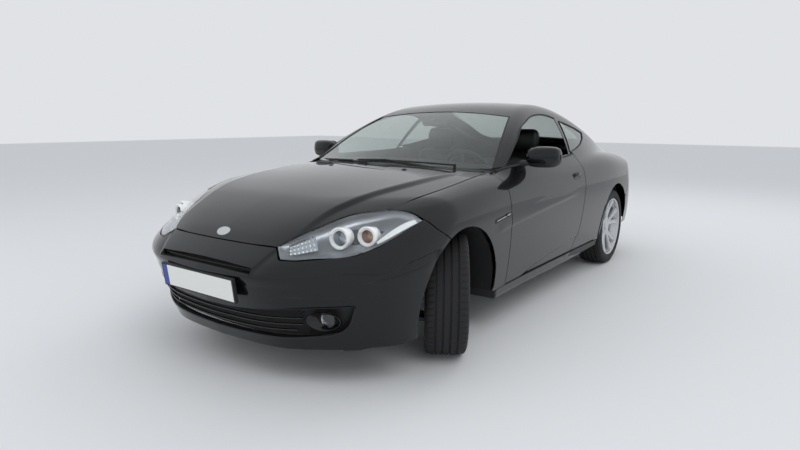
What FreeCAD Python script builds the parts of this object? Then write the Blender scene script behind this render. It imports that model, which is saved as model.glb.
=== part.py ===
"""A two-door coupe car with a sloping hatch tail, as an assembly of separate pieces.

Millimetres. +X points to the nose, +Y to the car's left, +Z up.
The origin is on the ground under the middle of the car's outline.
The front wheels stand turned to the left, as on a car parked at the end of a turn.
"""
import FreeCAD, Part
import math
import os

V = FreeCAD.Vector
os.makedirs("parts", exist_ok=True)

# Driving sizes of the chassis
WHEELBASE = 2530.0
FRONT_AXLE_X = 1282.5
REAR_AXLE_X = FRONT_AXLE_X - WHEELBASE
TRACK = 1490.0
TYRE_RADIUS = 313.0
ARCH_RADIUS = 362.0
ARCH_CENTRE_Z = 318.0
STEER_LEFT_DEG = 33.0
STEER_RIGHT_DEG = 30.0
KING_PIN_LOW = V(0, TRACK / 2 - 55, 185)
KING_PIN_HIGH = V(0, TRACK / 2 - 180, 800)

# Wall thicknesses and gaps
SKIN = 15.0
HOOD_THICK = 22.0
HOOD_LIP_Z = 652.0
COWL_THICK = 30.0
COWL_HALF_WIDTH = 706.0
TOWER_Z = 806.0
STRUT_TOP_Z = 800.0
STRUT_STUD_RADIUS = 9.0
STRUT_HOLE_RADIUS = 42.0
BALL_PIN_RADIUS = 10.0
SPINDLE_RADIUS = 18.0
STUD_CIRCLE = 120.0
STUD_HOLE_RADIUS = 7.0
COLUMN_DEG = 25.0
COLUMN_RADIUS = 20.0
WHEEL_CENTRE = V(360, 360, 830)
SEAT_Y = 370.0
GRILLE_SET_BACK = 45.0
GRILLE_GAPS = (292, 322, 352)
GRILLE_GAP_HEIGHT = 22.0
QUARTER_WALL = 60.0
ROOF_WALL = 34.0
HATCH_THICK = 30.0
LAMP_DEPTH = 70.0
GLASS_SET_BACK = 3.0
GLASS_THICK = 5.0
SHUT_GAP = 6.0
DOOR_HINGE_X = 852.0
DOOR_HINGE_Y = 852.0
DOOR_HINGE_ZS = (530, 620)
DOOR_PIN_RADIUS = 4.0
DOOR_BARREL_RADIUS = 7.0
DOOR_BARREL_HALF = 6.0
DOOR_INNER_STEP = 6.0
DOOR_STEP_Y = 800.0
DOOR_EAR_THICK = 8.0
DOOR_ARM_ROOT_X = 745.0
DASH_WALL_X = 866.0
DASH_WALL_THICK = 16.0
HOOD_HINGE_X = 750.0
HOOD_HINGE_Y = 670.0
HOOD_HINGE_Z = 893.0
HATCH_HINGE_X = -570.0
HATCH_HINGE_Y = 250.0
HATCH_HINGE_Z = 1298.0
LID_PIN_RADIUS = 3.0
LID_BARREL_RADIUS = 6.0
LID_BARREL_HALF = 6.0
LID_SLOT_HALF = 12.0
HINGE_ROOM_Y = 11.0
HINGE_ROOM_Z = 20.0
SEAT_GAP = 0.3
SILL_TOP_Z = 262.0
WIPER_POST_RADIUS = 9.0
ARM_RADIUS = 5.0
BLADE_RADIUS = 7.0
BLADE_RISE = 6.0
HATCH_FRONT_GAP = 12.0
DOOR_INNER_Y = 738.0
HANDLE_BACK_Y = 826.0
GILL_BACK_Y = 858.0
FOG_Y = 581.0
FOG_Z = 344.0
PLATE_HALF_WIDTH = 262.0

# Lower body, one row for each station along the car.
# Columns: x, half width at the waist, tuck in at the sill, shoulder drop in at the belt
BODY_WIDTHS = [
    (-2200, 800, 40, 110),
    (-1900, 845, 44, 92),
    (-1600, 868, 43, 82),
    (-1250, 880, 36, 70),
    (-800, 876, 34, 70),
    (-300, 866, 31, 71),
    (300, 862, 30, 74),
    (800, 868, 32, 86),
    (1280, 880, 32, 110),
    (1600, 872, 37, 134),
    (1950, 830, 40, 172),
    (2200, 760, 40, 185),
]
WAIST_Z = 600.0
SILL_Z = 250.0
BELT_Z = 920.0

# Height of hood, cowl, shoulder and deck on the centre line. Columns: x, z
TOP_HEIGHTS = [
    (2090, 652), (2048, 686), (2000, 715), (1900, 766), (1800, 802), (1600, 850), (1400, 883),
    (1200, 906), (950, 926), (700, 938), (200, 950), (-500, 955), (-1000, 965), (-1400, 985),
    (-1700, 985), (-1950, 955), (-2120, 925),
]
# Fall of that top at 700 mm from the centre line. Columns: x, fall
TOP_FALLS = [
    (2090, 50), (1900, 50), (1700, 42), (1500, 42), (1200, 45), (950, 40), (700, 35), (200, 20),
    (-500, 15), (-1000, 20), (-1500, 60), (-2000, 100),
]
FALL_AT_Y = 700.0
# Nose and tail outline seen from above. Columns: y, how far back from the foremost point
NOSE_PLAN = [
    (0, 0), (200, 10), (360, 36), (490, 90), (600, 158), (700, 245), (780, 340), (840, 460), (900, 660),
]
TAIL_PLAN = [(0, 0), (300, 20), (500, 60), (650, 140), (750, 240), (820, 380), (880, 600)]
# Nose and tail outline seen from the side, on the centre line. Columns: z, x
NOSE_PROFILE = [
    (170, 2085), (250, 2115), (400, 2165), (500, 2196), (540, 2203), (580, 2187), (652, 2100),
    (686, 2055), (720, 2000), (800, 1830),
]
TAIL_PROFILE = [
    (250, -2142), (350, -2192), (500, -2217), (600, -2212), (750, -2162), (900, -2112),
    (940, -2092), (1000, -1972),
]
# Underside height. Columns: x, z
UNDERSIDE = [
    (-2200, 275), (-1900, 250), (-1250, 225), (-800, 205), (300, 200), (900, 200), (1600, 190), (2150, 168),
]

# Cabin top. Columns: x, centre line height, crown factor, half width at the belt
ROOF_LINE = [
    (920, 925), (650, 1045), (400, 1148), (200, 1222), (100, 1256), (0, 1286), (-100, 1308),
    (-250, 1326), (-400, 1329), (-600, 1312), (-800, 1270), (-1000, 1212), (-1300, 1115),
    (-1600, 1020), (-1900, 930),
]
ROOF_CROWN = [
    (900, 260), (653, 235), (400, 160), (130, 100), (-100, 90), (-400, 100), (-800, 120),
    (-1200, 130), (-1600, 120),
]
CABIN_WIDTHS = [
    (950, 700), (650, 745), (300, 768), (-300, 772), (-800, 748), (-1200, 695), (-1600, 610), (-2000, 520),
]
CABIN_LEAN = 0.45
CABIN_BOW = 0.75
CABIN_BASE_Z = 950.0


def curve(rows):
    """A natural cubic curve through the rows, straight beyond its ends."""
    rows = sorted(rows)
    xs = [float(r[0]) for r in rows]
    ys = [float(r[1]) for r in rows]
    n = len(xs)
    gap = [xs[i + 1] - xs[i] for i in range(n - 1)]
    diag, rhs = [1.0] * n, [0.0] * n
    for i in range(1, n - 1):
        diag[i] = 2 * (gap[i - 1] + gap[i])
        rhs[i] = 6 * ((ys[i + 1] - ys[i]) / gap[i] - (ys[i] - ys[i - 1]) / gap[i - 1])
    for i in range(2, n - 1):
        share = gap[i - 1] / diag[i - 1]
        diag[i] -= share * gap[i - 1]
        rhs[i] -= share * rhs[i - 1]
    bend = [0.0] * n
    for i in range(n - 2, 0, -1):
        bend[i] = (rhs[i] - gap[i] * bend[i + 1]) / diag[i]
    first = (ys[1] - ys[0]) / gap[0] - gap[0] * bend[1] / 6
    last = (ys[-1] - ys[-2]) / gap[-1] + gap[-1] * bend[-2] / 6

    def value(x):
        if x <= xs[0]:
            return ys[0] + (x - xs[0]) * first
        if x >= xs[-1]:
            return ys[-1] + (x - xs[-1]) * last
        i = max(k for k in range(n - 1) if xs[k] <= x)
        a, b, h = xs[i + 1] - x, x - xs[i], gap[i]
        return ((bend[i] * a ** 3 + bend[i + 1] * b ** 3) / (6 * h)
                + (ys[i] / h - bend[i] * h / 6) * a + (ys[i + 1] / h - bend[i + 1] * h / 6) * b)

    return value


waist_at = curve([(r[0], r[1]) for r in BODY_WIDTHS])
tuck_at = curve([(r[0], r[2]) for r in BODY_WIDTHS])
drop_at = curve([(r[0], r[3]) for r in BODY_WIDTHS])
top_at = curve(TOP_HEIGHTS)
fall_at = curve(TOP_FALLS)
nose_plan = curve(NOSE_PLAN)
tail_plan = curve(TAIL_PLAN)
nose_profile = curve(NOSE_PROFILE)
tail_profile = curve(TAIL_PROFILE)
underside_at = curve(UNDERSIDE)
roof_at = curve(ROOF_LINE)
crown_at = curve(ROOF_CROWN)
cabin_at = curve(CABIN_WIDTHS)


def blend_max(a, b, width):
    """The larger of a and b, rounded where they cross."""
    near = max(width - abs(a - b), 0.0) / width
    return max(a, b) + near * near * width / 4


def half_width(x, z):
    if z < WAIST_Z:
        return waist_at(x) - tuck_at(x) * ((WAIST_Z - z) / (WAIST_Z - SILL_Z)) ** 1.8
    return waist_at(x) - drop_at(x) * ((z - WAIST_Z) / (BELT_Z - WAIST_Z)) ** 2.8


def lower_body(x, y, z):
    """Below zero inside the body under the belt, and about the distance in mm outside it."""
    y = abs(y)
    side = y - half_width(x, z)
    top = z - (top_at(x) - fall_at(x) * (y / FALL_AT_Y) ** 2.2)
    nose = x - (nose_profile(z) - nose_plan(y))
    tail = (tail_profile(z) + tail_plan(y)) - x
    form = blend_max(side, top, 100.0)
    form = blend_max(form, 0.8 * nose, 50.0)
    form = blend_max(form, 0.9 * tail, 50.0)
    return blend_max(form, underside_at(x) - z, 20.0)


def cabin(x, y, z):
    """The same for the cabin above the belt."""
    y = abs(y)
    up = z - CABIN_BASE_Z
    side = y - (cabin_at(x) - CABIN_LEAN * up - CABIN_BOW * max(up, 0.0) ** 2 / 1000)
    top = z - (roof_at(x) - crown_at(x) * (y / 1000) ** 2)
    return blend_max(side, top, 60.0)


def on_ray(form, x, start_z, degrees, inset):
    """Where a ray in the plane x, from the centre line, leaves the form set in by inset."""
    c, s = math.cos(math.radians(degrees)), math.sin(math.radians(degrees))
    near, far = 0.0, 1400.0
    for _ in range(34):
        mid = (near + far) / 2
        if form(x, mid * c, start_z + mid * s) < -inset:
            near = mid
        else:
            far = mid
    return V(x, near * c, start_z + near * s)


def flip(p):
    return V(p.x, -p.y, p.z)


def arc(a, b, c):
    return Part.Arc(a, b, c).toShape()


def bow(a, b, c):
    """A parabolic arc from a through b to c, lighter than a circle's in the long lofts."""
    share = (b - a).Length / ((b - a).Length + (c - b).Length)
    bezier = Part.BezierCurve()
    pole = (b - a * (1 - share) ** 2 - c * share ** 2) * (0.5 / (share * (1 - share)))
    bezier.setPoles([a, pole, c])
    return bezier.toShape()


def line(a, b):
    return Part.LineSegment(a, b).toShape()


BODY_START_Z = 450.0
BODY_RAYS = (9, 21, 30, 36, 43)
FOOT_RISE = 14.0
OPEN_DEPTH = 60.0
BODY_STATIONS = (-2200, -2170, -2060, -1900, -1600, -1250, -800, -300, 300, 800, 1280, 1600, 1800, 1950,
                 2050, 2110, 2150, 2180)
CABIN_START_Z = 860.0
CABIN_STATIONS = (-1900, -1600, -1300, -1000, -700, -400, -150, 60, 300, 550, 800, 900)


def at_height(form, x, z, inset):
    """Where a level line in the plane x leaves the form set in by inset."""
    near, far = 0.0, 1200.0
    for _ in range(34):
        mid = (near + far) / 2
        if form(x, mid, z) < -inset:
            near = mid
        else:
            far = mid
    return V(x, near, z)


def body_ring(x, inset):
    """One section across the lower body: flat underside, side, shoulder and crown arcs."""
    low_z = on_ray(lower_body, x, BODY_START_Z, -90, inset).z
    p = [on_ray(lower_body, x, BODY_START_Z, a, inset) for a in BODY_RAYS]
    foot = at_height(lower_body, x, low_z + FOOT_RISE, inset)
    shin = at_height(lower_body, x, (foot.z + p[0].z) / 2, inset)
    if inset:
        foot = V(x, foot.y, foot.z - OPEN_DEPTH)
    top = on_ray(lower_body, x, BODY_START_Z, 90, inset)
    return Part.Wire([
        line(flip(foot), foot), bow(foot, shin, p[0]), bow(p[0], p[1], p[2]), bow(p[2], p[3], p[4]),
        bow(p[4], top, flip(p[4])), bow(flip(p[4]), flip(p[3]), flip(p[2])),
        bow(flip(p[2]), flip(p[1]), flip(p[0])), bow(flip(p[0]), flip(shin), flip(foot)),
    ])


def cabin_ring(x, inset):
    """One section across the cabin above the belt."""
    reach = roof_at(x) - CABIN_START_Z
    width = cabin_at(x)
    corner = math.degrees(math.atan2(reach * 0.86, width * 0.80))
    low = on_ray(cabin, x, CABIN_START_Z, 0, inset)
    mid = on_ray(cabin, x, CABIN_START_Z, corner * 0.42, inset)
    turn = on_ray(cabin, x, CABIN_START_Z, corner * 0.82, inset)
    edge = on_ray(cabin, x, CABIN_START_Z, corner, inset)
    over = on_ray(cabin, x, CABIN_START_Z, min(corner * 1.25, 80), inset)
    top = on_ray(cabin, x, CABIN_START_Z, 90, inset)
    return Part.Wire([
        line(flip(low), low), bow(low, mid, turn), bow(turn, edge, over), bow(over, top, flip(over)),
        bow(flip(over), flip(edge), flip(turn)), bow(flip(turn), flip(mid), flip(low)),
    ])


def body_solid(inset=0.0, first=-2200.0, last=2200.0):
    rings = [body_ring(x, inset) for x in BODY_STATIONS if first <= x <= last]
    return Part.makeLoft(rings, True, False, False, 3)


def cabin_solid(inset=0.0):
    return Part.makeLoft([cabin_ring(x, inset) for x in CABIN_STATIONS], True, False, False, 3)


# How each drawing plane lies: where its point (u, v) is, and the way across it
PLANES = {
    "side": (lambda u, v: V(u, 0, v), V(0, 1, 0)),
    "front": (lambda u, v: V(0, u, v), V(1, 0, 0)),
    "plan": (lambda u, v: V(u, v, 0), V(0, 0, 1)),
}


def outline(plane, points):
    """A closed wire through (u, v) or (u, v, corner radius) points, as lines and tangent arcs."""
    at = PLANES[plane][0]
    n = len(points)
    starts, ends, mids = [], [], []
    for i in range(n):
        a, b, c = points[i - 1], points[i], points[(i + 1) % n]
        here, back, on = at(b[0], b[1]), at(a[0], a[1]), at(c[0], c[1])
        u, w = V(back - here).normalize(), V(on - here).normalize()
        half = math.acos(max(-1.0, min(1.0, u.dot(w)))) / 2
        reach = 0.0
        if len(b) > 2:
            reach = min(b[2] / math.tan(half), 0.45 * min((back - here).Length, (on - here).Length))
        if reach <= 0 or half > math.radians(89.5):
            starts.append(here)
            ends.append(here)
            mids.append(None)
            continue
        starts.append(here + u * reach)
        ends.append(here + w * reach)
        mids.append(here + (u + w).normalize() * (reach / math.cos(half) - reach * math.tan(half)))
    edges = []
    for i in range(n):
        if mids[i] is not None:
            edges.append(arc(starts[i], mids[i], ends[i]))
        if (starts[(i + 1) % n] - ends[i]).Length > 1e-6:
            edges.append(line(ends[i], starts[(i + 1) % n]))
    return Part.Wire(edges)


def prism(plane, points, low, high):
    """A solid with the outline drawn in a plane, from low to high along the way across it."""
    across = PLANES[plane][1]
    solid = Part.Face(outline(plane, points)).extrude(across * (high - low))
    solid.translate(across * low)
    return solid


def box(x0, x1, y0, y1, z0, z1):
    return Part.makeBox(x1 - x0, y1 - y0, z1 - z0, V(x0, y0, z0))


def rod(a, b, radius):
    return Part.makeCylinder(radius, (b - a).Length, a, b - a)


def mirrored(shape):
    return shape.mirror(V(0, 0, 0), V(0, 1, 0))


def merged(shapes):
    joined = shapes[0]
    for s in shapes[1:]:
        joined = joined.fuse(s)
    return joined.removeSplitter()


def lid_lug(x, y, z, reach):
    """A hinge lug on a lid: a barrel about the pin and a bar that reaches to the lid, bored for the pin."""
    centre = V(x, y - LID_BARREL_HALF, z)
    barrel = rod(centre, centre + V(0, 2 * LID_BARREL_HALF, 0), LID_BARREL_RADIUS)
    low, high = sorted((x, x + reach))
    bar = box(low, high, y - LID_BARREL_HALF, y + LID_BARREL_HALF, z - LID_BARREL_RADIUS, z + LID_PIN_RADIUS)
    bore = rod(centre - V(0, 5, 0), centre + V(0, 2 * LID_BARREL_HALF + 5, 0), LID_PIN_RADIUS + SEAT_GAP)
    return barrel.fuse(bar).cut(bore)


def lid_slot(x, y, z, reach):
    """The open slot in which that lug swings."""
    low, high = sorted((x - math.copysign(LID_SLOT_HALF, reach), x + reach))
    return box(low, high, y - LID_SLOT_HALF, y + LID_SLOT_HALF, z - LID_SLOT_HALF, z + 80)


def lid_pin(x, y, z):
    """The pin across the slot."""
    return rod(V(x, y - LID_SLOT_HALF - 6, z), V(x, y + LID_SLOT_HALF + 6, z), LID_PIN_RADIUS)


def door_arm(z):
    """A goose-neck hinge arm: from the door's front face, round behind the fender's edge, out to the pin."""
    low, high = z - DOOR_BARREL_HALF, z + DOOR_BARREL_HALF
    side_x = DOOR_HINGE_X + DOOR_BARREL_RADIUS
    arm_y = DOOR_INNER_Y + 8
    leg = box(DOOR_HINGE_X - DOOR_BARREL_RADIUS, side_x, arm_y, DOOR_HINGE_Y, low, high)
    foot = box(DOOR_ARM_ROOT_X, side_x, arm_y, arm_y + 2 * DOOR_BARREL_RADIUS, low, high)
    pin_low, pin_high = V(DOOR_HINGE_X, DOOR_HINGE_Y, low), V(DOOR_HINGE_X, DOOR_HINGE_Y, high)
    over = V(0, 0, 5)
    bore = rod(pin_low - over, pin_high + over, DOOR_PIN_RADIUS + SEAT_GAP)
    return leg.fuse(foot).fuse(rod(pin_low, pin_high, DOOR_BARREL_RADIUS)).cut(bore)


def door_bracket(z):
    """The fork on the dash wall that holds the hinge pin above and below that arm."""
    ear = DOOR_BARREL_HALF + SEAT_GAP
    low, high = z - ear - DOOR_EAR_THICK, z + ear + DOOR_EAR_THICK
    end_y = DOOR_HINGE_Y + DOOR_BARREL_RADIUS
    back = box(DASH_WALL_X, DASH_WALL_X + DASH_WALL_THICK, 728, end_y, low, high)
    near_x, near_y = DOOR_HINGE_X - DOOR_BARREL_RADIUS, DOOR_HINGE_Y - DOOR_BARREL_RADIUS
    ears = [box(near_x, DASH_WALL_X, near_y, end_y, z0, z0 + DOOR_EAR_THICK) for z0 in (low, z + ear)]
    pin = rod(V(DOOR_HINGE_X, DOOR_HINGE_Y, low), V(DOOR_HINGE_X, DOOR_HINGE_Y, high), DOOR_PIN_RADIUS)
    return merged([back, pin] + ears)


NODES = {}


def keep(name, shape):
    """Adds a finished piece under its node's name."""
    NODES[name] = shape


def king_point(z):
    """The point of the left steering axis at a height."""
    share = (z - KING_PIN_LOW.z) / (KING_PIN_HIGH.z - KING_PIN_LOW.z)
    return V(FRONT_AXLE_X, KING_PIN_LOW.y + (KING_PIN_HIGH.y - KING_PIN_LOW.y) * share, z)


KING_HUB_Y = king_point(TYRE_RADIUS).y
HUB_OFFSET = TRACK / 2 - KING_HUB_Y


def keep_pair(name, left_shape):
    keep(name + "_left", left_shape)
    keep(name + "_right", mirrored(left_shape))


def grow(points, by):
    """The outline moved outwards all round by a distance (inwards if below zero), corners kept."""
    n = len(points)
    pairs = [(points[i], points[(i + 1) % n]) for i in range(n)]
    turn = math.copysign(1.0, sum(a[0] * b[1] - b[0] * a[1] for a, b in pairs))
    out = []
    for i in range(n):
        a, b, c = points[i - 1], points[i], points[(i + 1) % n]
        e1 = V(b[0] - a[0], b[1] - a[1], 0).normalize()
        e2 = V(c[0] - b[0], c[1] - b[1], 0).normalize()
        n1, n2 = V(e1.y, -e1.x, 0) * turn, V(e2.y, -e2.x, 0) * turn
        m = n1 + n2
        step = m * (by / (1 + n1.dot(n2)))
        r = b[2] if len(b) > 2 else 0.0
        cross = (e1.x * e2.y - e1.y * e2.x) * turn
        r = max(r + (by if cross > 0 else -by), 0.0) if r else 0.0
        out.append((b[0] + step.x, b[1] + step.y, r))
    return out


# Outlines of the panels. Side view: x, z, corner radius
DOOR = [
    (757, 268, 30), (757, 962), (-445, 962, 20), (-478, 925, 40), (-490, 830, 200), (-480, 721, 300),
    (-451, 606, 300), (-424, 485, 200), (-386, 369, 150), (-330, 268, 40),
]
DOOR_WINDOW = [
    (618, 923, 10), (514, 983, 200), (416, 1039, 200), (214, 1141, 300), (-5, 1207, 400), (-172, 1229, 400),
    (-331, 1227, 300), (-462, 1206, 30), (-358, 962, 20),
]
DOOR_WINDOW_SILL = [(618, 923), (-358, 962)]
QUARTER_WINDOW = [
    (-519, 1190, 20), (-668, 1164, 500), (-819, 1132, 300), (-940, 1096, 30), (-870, 1056, 60),
    (-735, 1018, 300), (-561, 988, 300), (-398, 972, 20),
]
FENDER = [
    (763, 262), (763, 1000), (1700, 1000), (1700, 751), (1554, 751), (1518, 706), (1434, 647), (1434, 262),
]
GILL = [(977, 650, 4), (771, 672, 4), (772, 690, 4), (977, 672, 4)]
HANDLE = [(-400, 784, 24), (-400, 834, 24), (-264, 834, 24), (-264, 784, 24)]
PLATE_SIDE = [(2180.3, 409), (2180.3, 520), (2216, 520), (2202, 409)]
BUMPER_JOINT = [(1440, 100), (1440, 644), (1524, 703), (1560, 751), (1560, 900), (2300, 900), (2300, 100)]
REAR_JOINT = [(-1540, 100), (-1540, 560), (-1640, 690, 60), (-2300, 690), (-2300, 100)]
# Front view: y, z, corner radius
LAMP = [
    (426, 609, 12), (505, 609, 100), (566, 615, 200), (690, 626, 300), (742, 657, 100), (808, 745, 6),
    (777, 764, 20), (723, 783, 60), (659, 790, 60), (602, 783, 100), (559, 775, 100), (499, 743, 300),
    (431, 694, 300), (371, 650, 6),
]
INTAKE = [
    (0, 364), (154, 367, 600), (446, 396, 600), (583, 405, 600), (703, 410, 20), (687, 366, 60),
    (669, 320, 60), (637, 286, 40), (540, 262, 300), (444, 250, 400), (317, 246, 600), (0, 241),
]
SLOT = [(0, 579), (327, 569, 8), (327, 541, 8), (0, 549)]
TAIL_LAMP = [(560, 735, 20), (560, 835, 20), (900, 835, 20), (900, 735, 20)]
# Plan view: x, y, corner radius
HOOD_HALF = [
    (2250, 0), (2250, 371), (2054, 371), (1972, 431, 200), (1853, 499, 300), (1745, 559, 300),
    (1636, 659, 120), (1500, 698, 400), (1200, 714, 600), (1000, 710, 600), (770, 700, 20), (900, 400, 600),
    (945, 0),
]
WINDSCREEN_HALF = [(905, 0), (850, 330, 500), (675, 694, 20), (131, 529, 20), (112, 250, 600), (105, 0)]
HATCH_HALF = [(-600, 0), (-600, 505, 40), (-1150, 532, 800), (-1600, 545, 600), (-2300, 600), (-2300, 0)]
HATCH_LOW_Z = 700.0
BACKLIGHT_HALF = [(-660, 0), (-655, 430, 70), (-1150, 458, 800), (-1470, 455, 70), (-1500, 0)]
# Columns: node, wheel centre x, first y, last y, lowest z
LINERS = [("front_liner", FRONT_AXLE_X, 446, 835, 262), ("rear_liner", REAR_AXLE_X, 560, 795, 262)]
RIM = [
    (100, 226), (100, 238), (93, 238), (91, 229), (60, 227), (45, 212), (-60, 212), (-75, 227), (-91, 229),
    (-93, 238), (-100, 238), (-100, 226), (-80, 218), (-62, 204), (42, 204), (60, 218), (90, 221),
]
TYRE = [
    (84, 229), (91, 229), (91, 240), (107.5, 262), (102, 298), (78, 313), (-78, 313), (-102, 298),
    (-107.5, 262), (-91, 240), (-91, 229), (-84, 229), (-80, 302), (80, 302),
]
DASH = [(430, 640, 30), (430, 850, 50), (500, 925), (760, 1000), (760, 780), (560, 640, 40)]
SEAT_CUSHION = [(-340, 320, 30), (-340, 440, 30), (120, 500, 60), (150, 430, 40), (120, 320, 30)]
SEAT_BACK = [(-300, 400, 30), (-400, 400, 40), (-530, 960, 50), (-440, 985, 50), (-330, 700, 200)]
HEAD_REST = [(-430, 940, 20), (-505, 930, 20), (-520, 1120, 40), (-440, 1145, 30), (-415, 1040, 60)]
BENCH_CUSHION = [(-1085, 300, 20), (-1085, 430, 20), (-700, 470, 50), (-660, 400, 30), (-680, 300, 20)]
BENCH_BACK = [(-1000, 420, 20), (-1085, 420, 20), (-1085, 480, 60), (-1240, 850, 40), (-1150, 870, 40)]
MIRROR_PLAN = [
    (330, 800, 20), (330, 985, 30), (380, 990, 30), (455, 950, 60), (470, 820, 40), (400, 790, 30),
]
MIRROR_FRONT = [(805, 935, 30), (790, 1040, 30), (985, 1046, 45), (992, 930, 50)]
INNER_MIRROR = [(-105, 1150, 25), (-105, 1205, 25), (105, 1205, 25), (105, 1150, 25)]
MIRROR_FOOT = [(752, 860), (820, 860), (860, 940), (860, 975), (800, 960), (765, 935)]
ENGINE = [
    (920, 330, 40), (920, 640, 60), (1000, 740, 60), (1700, 690, 60), (1760, 560, 60), (1700, 250, 60),
    (1480, 250, 20), (1480, 300, 20), (1080, 300, 20),
]
ENGINE_HALF_WIDTH = 240.0
# Columns: side, post (x, y), then blade points (x, y) from end to end with the arm's eye in the middle
WIPERS = [
    ("left", (815, 520), [(878, -154), (872, 63), (856, 420)]),
    ("right", (918, -60), [(880, -200), (825, -400), (735, -600)]),
]


def whole(half):
    """A symmetric outline from its half, whose first and last points lie on the centre line."""
    other = [(p[0], -p[1]) + tuple(p[2:]) for p in half[::-1]]
    return half + [p for p in other if abs(p[1]) > 1e-6]


def whole_front(half):
    other = [(-p[0], p[1]) + tuple(p[2:]) for p in half[::-1]]
    return half + [p for p in other if abs(p[0]) > 1e-6]


def arch(x, radius, from_y, to_y):
    return Part.makeCylinder(radius, to_y - from_y, V(x, from_y, ARCH_CENTRE_Z), V(0, 1, 0))


def ring_of(profile):
    """The solid swept by a profile of (along the axle, radius) points turned about the Y axis."""
    points = [V(r, y, 0) for y, r in profile]
    return Part.Face(Part.makePolygon(points + points[:1])).revolve(V(0, 0, 0), V(0, 1, 0), 360)


def disc(radius, from_y, to_y):
    return Part.makeCylinder(radius, to_y - from_y, V(0, from_y, 0), V(0, 1, 0))


def front_hub(shape, heading):
    """Turns a shape drawn at the wheel's centre to its place on the left front knuckle."""
    placed = shape.copy().translate(V(0, HUB_OFFSET, 0)).rotate(V(0, 0, 0), V(0, 0, 1), heading)
    return placed.translate(V(FRONT_AXLE_X, KING_HUB_Y, TYRE_RADIUS))


def knuckle(heading):
    """Hub carrier, brake caliper and strut, about the inclined steering axis."""
    upright = [box(-24, 24, -92, -62, -118, 110), box(-20, 20, -175, -70, 70, 110)]
    carrier = merged([disc(SPINDLE_RADIUS, -60, 48), disc(46, -92, -52)] + upright)
    caliper = box(-185, -92, -48, 12, -62, 62).cut(box(-156, -60, -33, 1, -100, 100))
    caliper = caliper.cut(disc(92, -60, 20)).common(disc(190, -60, 20))
    bridge = box(-130, -20, -60, -46, -20, 20)
    arm = front_hub(merged([carrier, caliper, bridge]), heading)
    low = front_hub(Part.Vertex(V(0, -160, 60)), heading).Point
    top = king_point(STRUT_TOP_Z)
    strut = rod(low, low + (top - low) * 0.45, 27).fuse(rod(low, top, 15))
    boss = rod(king_point(196), king_point(250), 24)
    stud = rod(king_point(STRUT_TOP_Z - 10), king_point(TOWER_Z + 30), STRUT_STUD_RADIUS)
    body = merged([arm, strut, boss, stud])
    return body.cut(rod(king_point(150), king_point(232), BALL_PIN_RADIUS + SEAT_GAP))


def on_glass(x, y, rise):
    """A point on the windscreen's outer face, lifted by rise."""
    return V(x, y, roof_at(x) - crown_at(x) * (y / 1000) ** 2 + rise)


# The body form, its inner faces, and the tools that part the panels
outer = body_solid()
left_outer = outer.common(box(-2300, 2300, 0, 1100, 0, 1200))
inner_skin = body_solid(SKIN, -2170, 2110)
inner_cowl = body_solid(COWL_THICK, -2060, 2050)
inner_wall = body_solid(QUARTER_WALL, -2060, -300)
cabin_outer = cabin_solid()
cabin_inner = cabin_solid(ROOF_WALL)
inner_wide = body_solid(24, -2120, 2080)
body_clear = body_solid(-SEAT_GAP)
glass_clear = cabin_solid(-SEAT_GAP)
lamp_gap = prism("front", grow(LAMP, SHUT_GAP / 2), 1450, 2300)
hood_gap = prism("plan", grow(whole(HOOD_HALF), SHUT_GAP), HOOD_LIP_Z - SHUT_GAP, 1100)
hood_tool = prism("plan", whole(HOOD_HALF), HOOD_LIP_Z, 1100)
front_arch = arch(FRONT_AXLE_X, ARCH_RADIUS, 430, 1100)
rear_arch = arch(REAR_AXLE_X, ARCH_RADIUS, 560, 1100)
door_tool = prism("side", DOOR, DOOR_INNER_Y, 1000)
door_gap = prism("side", grow(DOOR, SHUT_GAP), DOOR_INNER_Y - SHUT_GAP, 1000)
hatch_tool = prism("plan", whole(HATCH_HALF), HATCH_LOW_Z, 1400)
hatch_gap = prism("plan", grow(whole(HATCH_HALF), SHUT_GAP), HATCH_LOW_Z - 10, 1400)
hatch_gap = hatch_gap.fuse(box(-700, -600 + HATCH_FRONT_GAP, -505, 505, 1000, 1400))

# Hood, fenders, bumper cover, lamps and grilles
hood = outer.common(hood_tool).cut(body_solid(HOOD_THICK, 300, 2110))
hood_lug = lid_lug(HOOD_HINGE_X, HOOD_HINGE_Y, HOOD_HINGE_Z, 55)
hood_slot = lid_slot(HOOD_HINGE_X, HOOD_HINGE_Y, HOOD_HINGE_Z, 60)
hood_pin = lid_pin(HOOD_HINGE_X, HOOD_HINGE_Y, HOOD_HINGE_Z)
keep("hood", merged([hood, hood_lug, mirrored(hood_lug)]))

gill_tool = prism("side", GILL, GILL_BACK_Y, 1000)
fender = left_outer.common(prism("side", FENDER, 560, 1000)).cut(inner_skin).cut(hood_gap).cut(lamp_gap)
fender = fender.cut(front_arch).cut(box(700, 960, 0, COWL_HALF_WIDTH, 700, 1000))
for z in DOOR_HINGE_ZS:
    fender = fender.cut(box(790, 900, 780, DOOR_HINGE_Y + HINGE_ROOM_Y, z - HINGE_ROOM_Z, z + HINGE_ROOM_Z))
keep_pair("fender", fender.cut(gill_tool))

above_lamp = prism("front", LAMP[:6] + [(900, 745), (900, 1000), (371, 1000), (371, 650)], 1450, 2300)
nose = left_outer.common(prism("side", BUMPER_JOINT, -0.01, 1000)).cut(inner_skin)
nose = nose.cut(above_lamp).cut(lamp_gap).cut(hood_gap).cut(front_arch)
nose = nose.cut(prism("front", whole_front(INTAKE), 1600, 2300))
nose = nose.cut(prism("front", whole_front(SLOT), 1900, 2300))
keep("front_bumper", nose.fuse(mirrored(nose)).removeSplitter())

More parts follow.
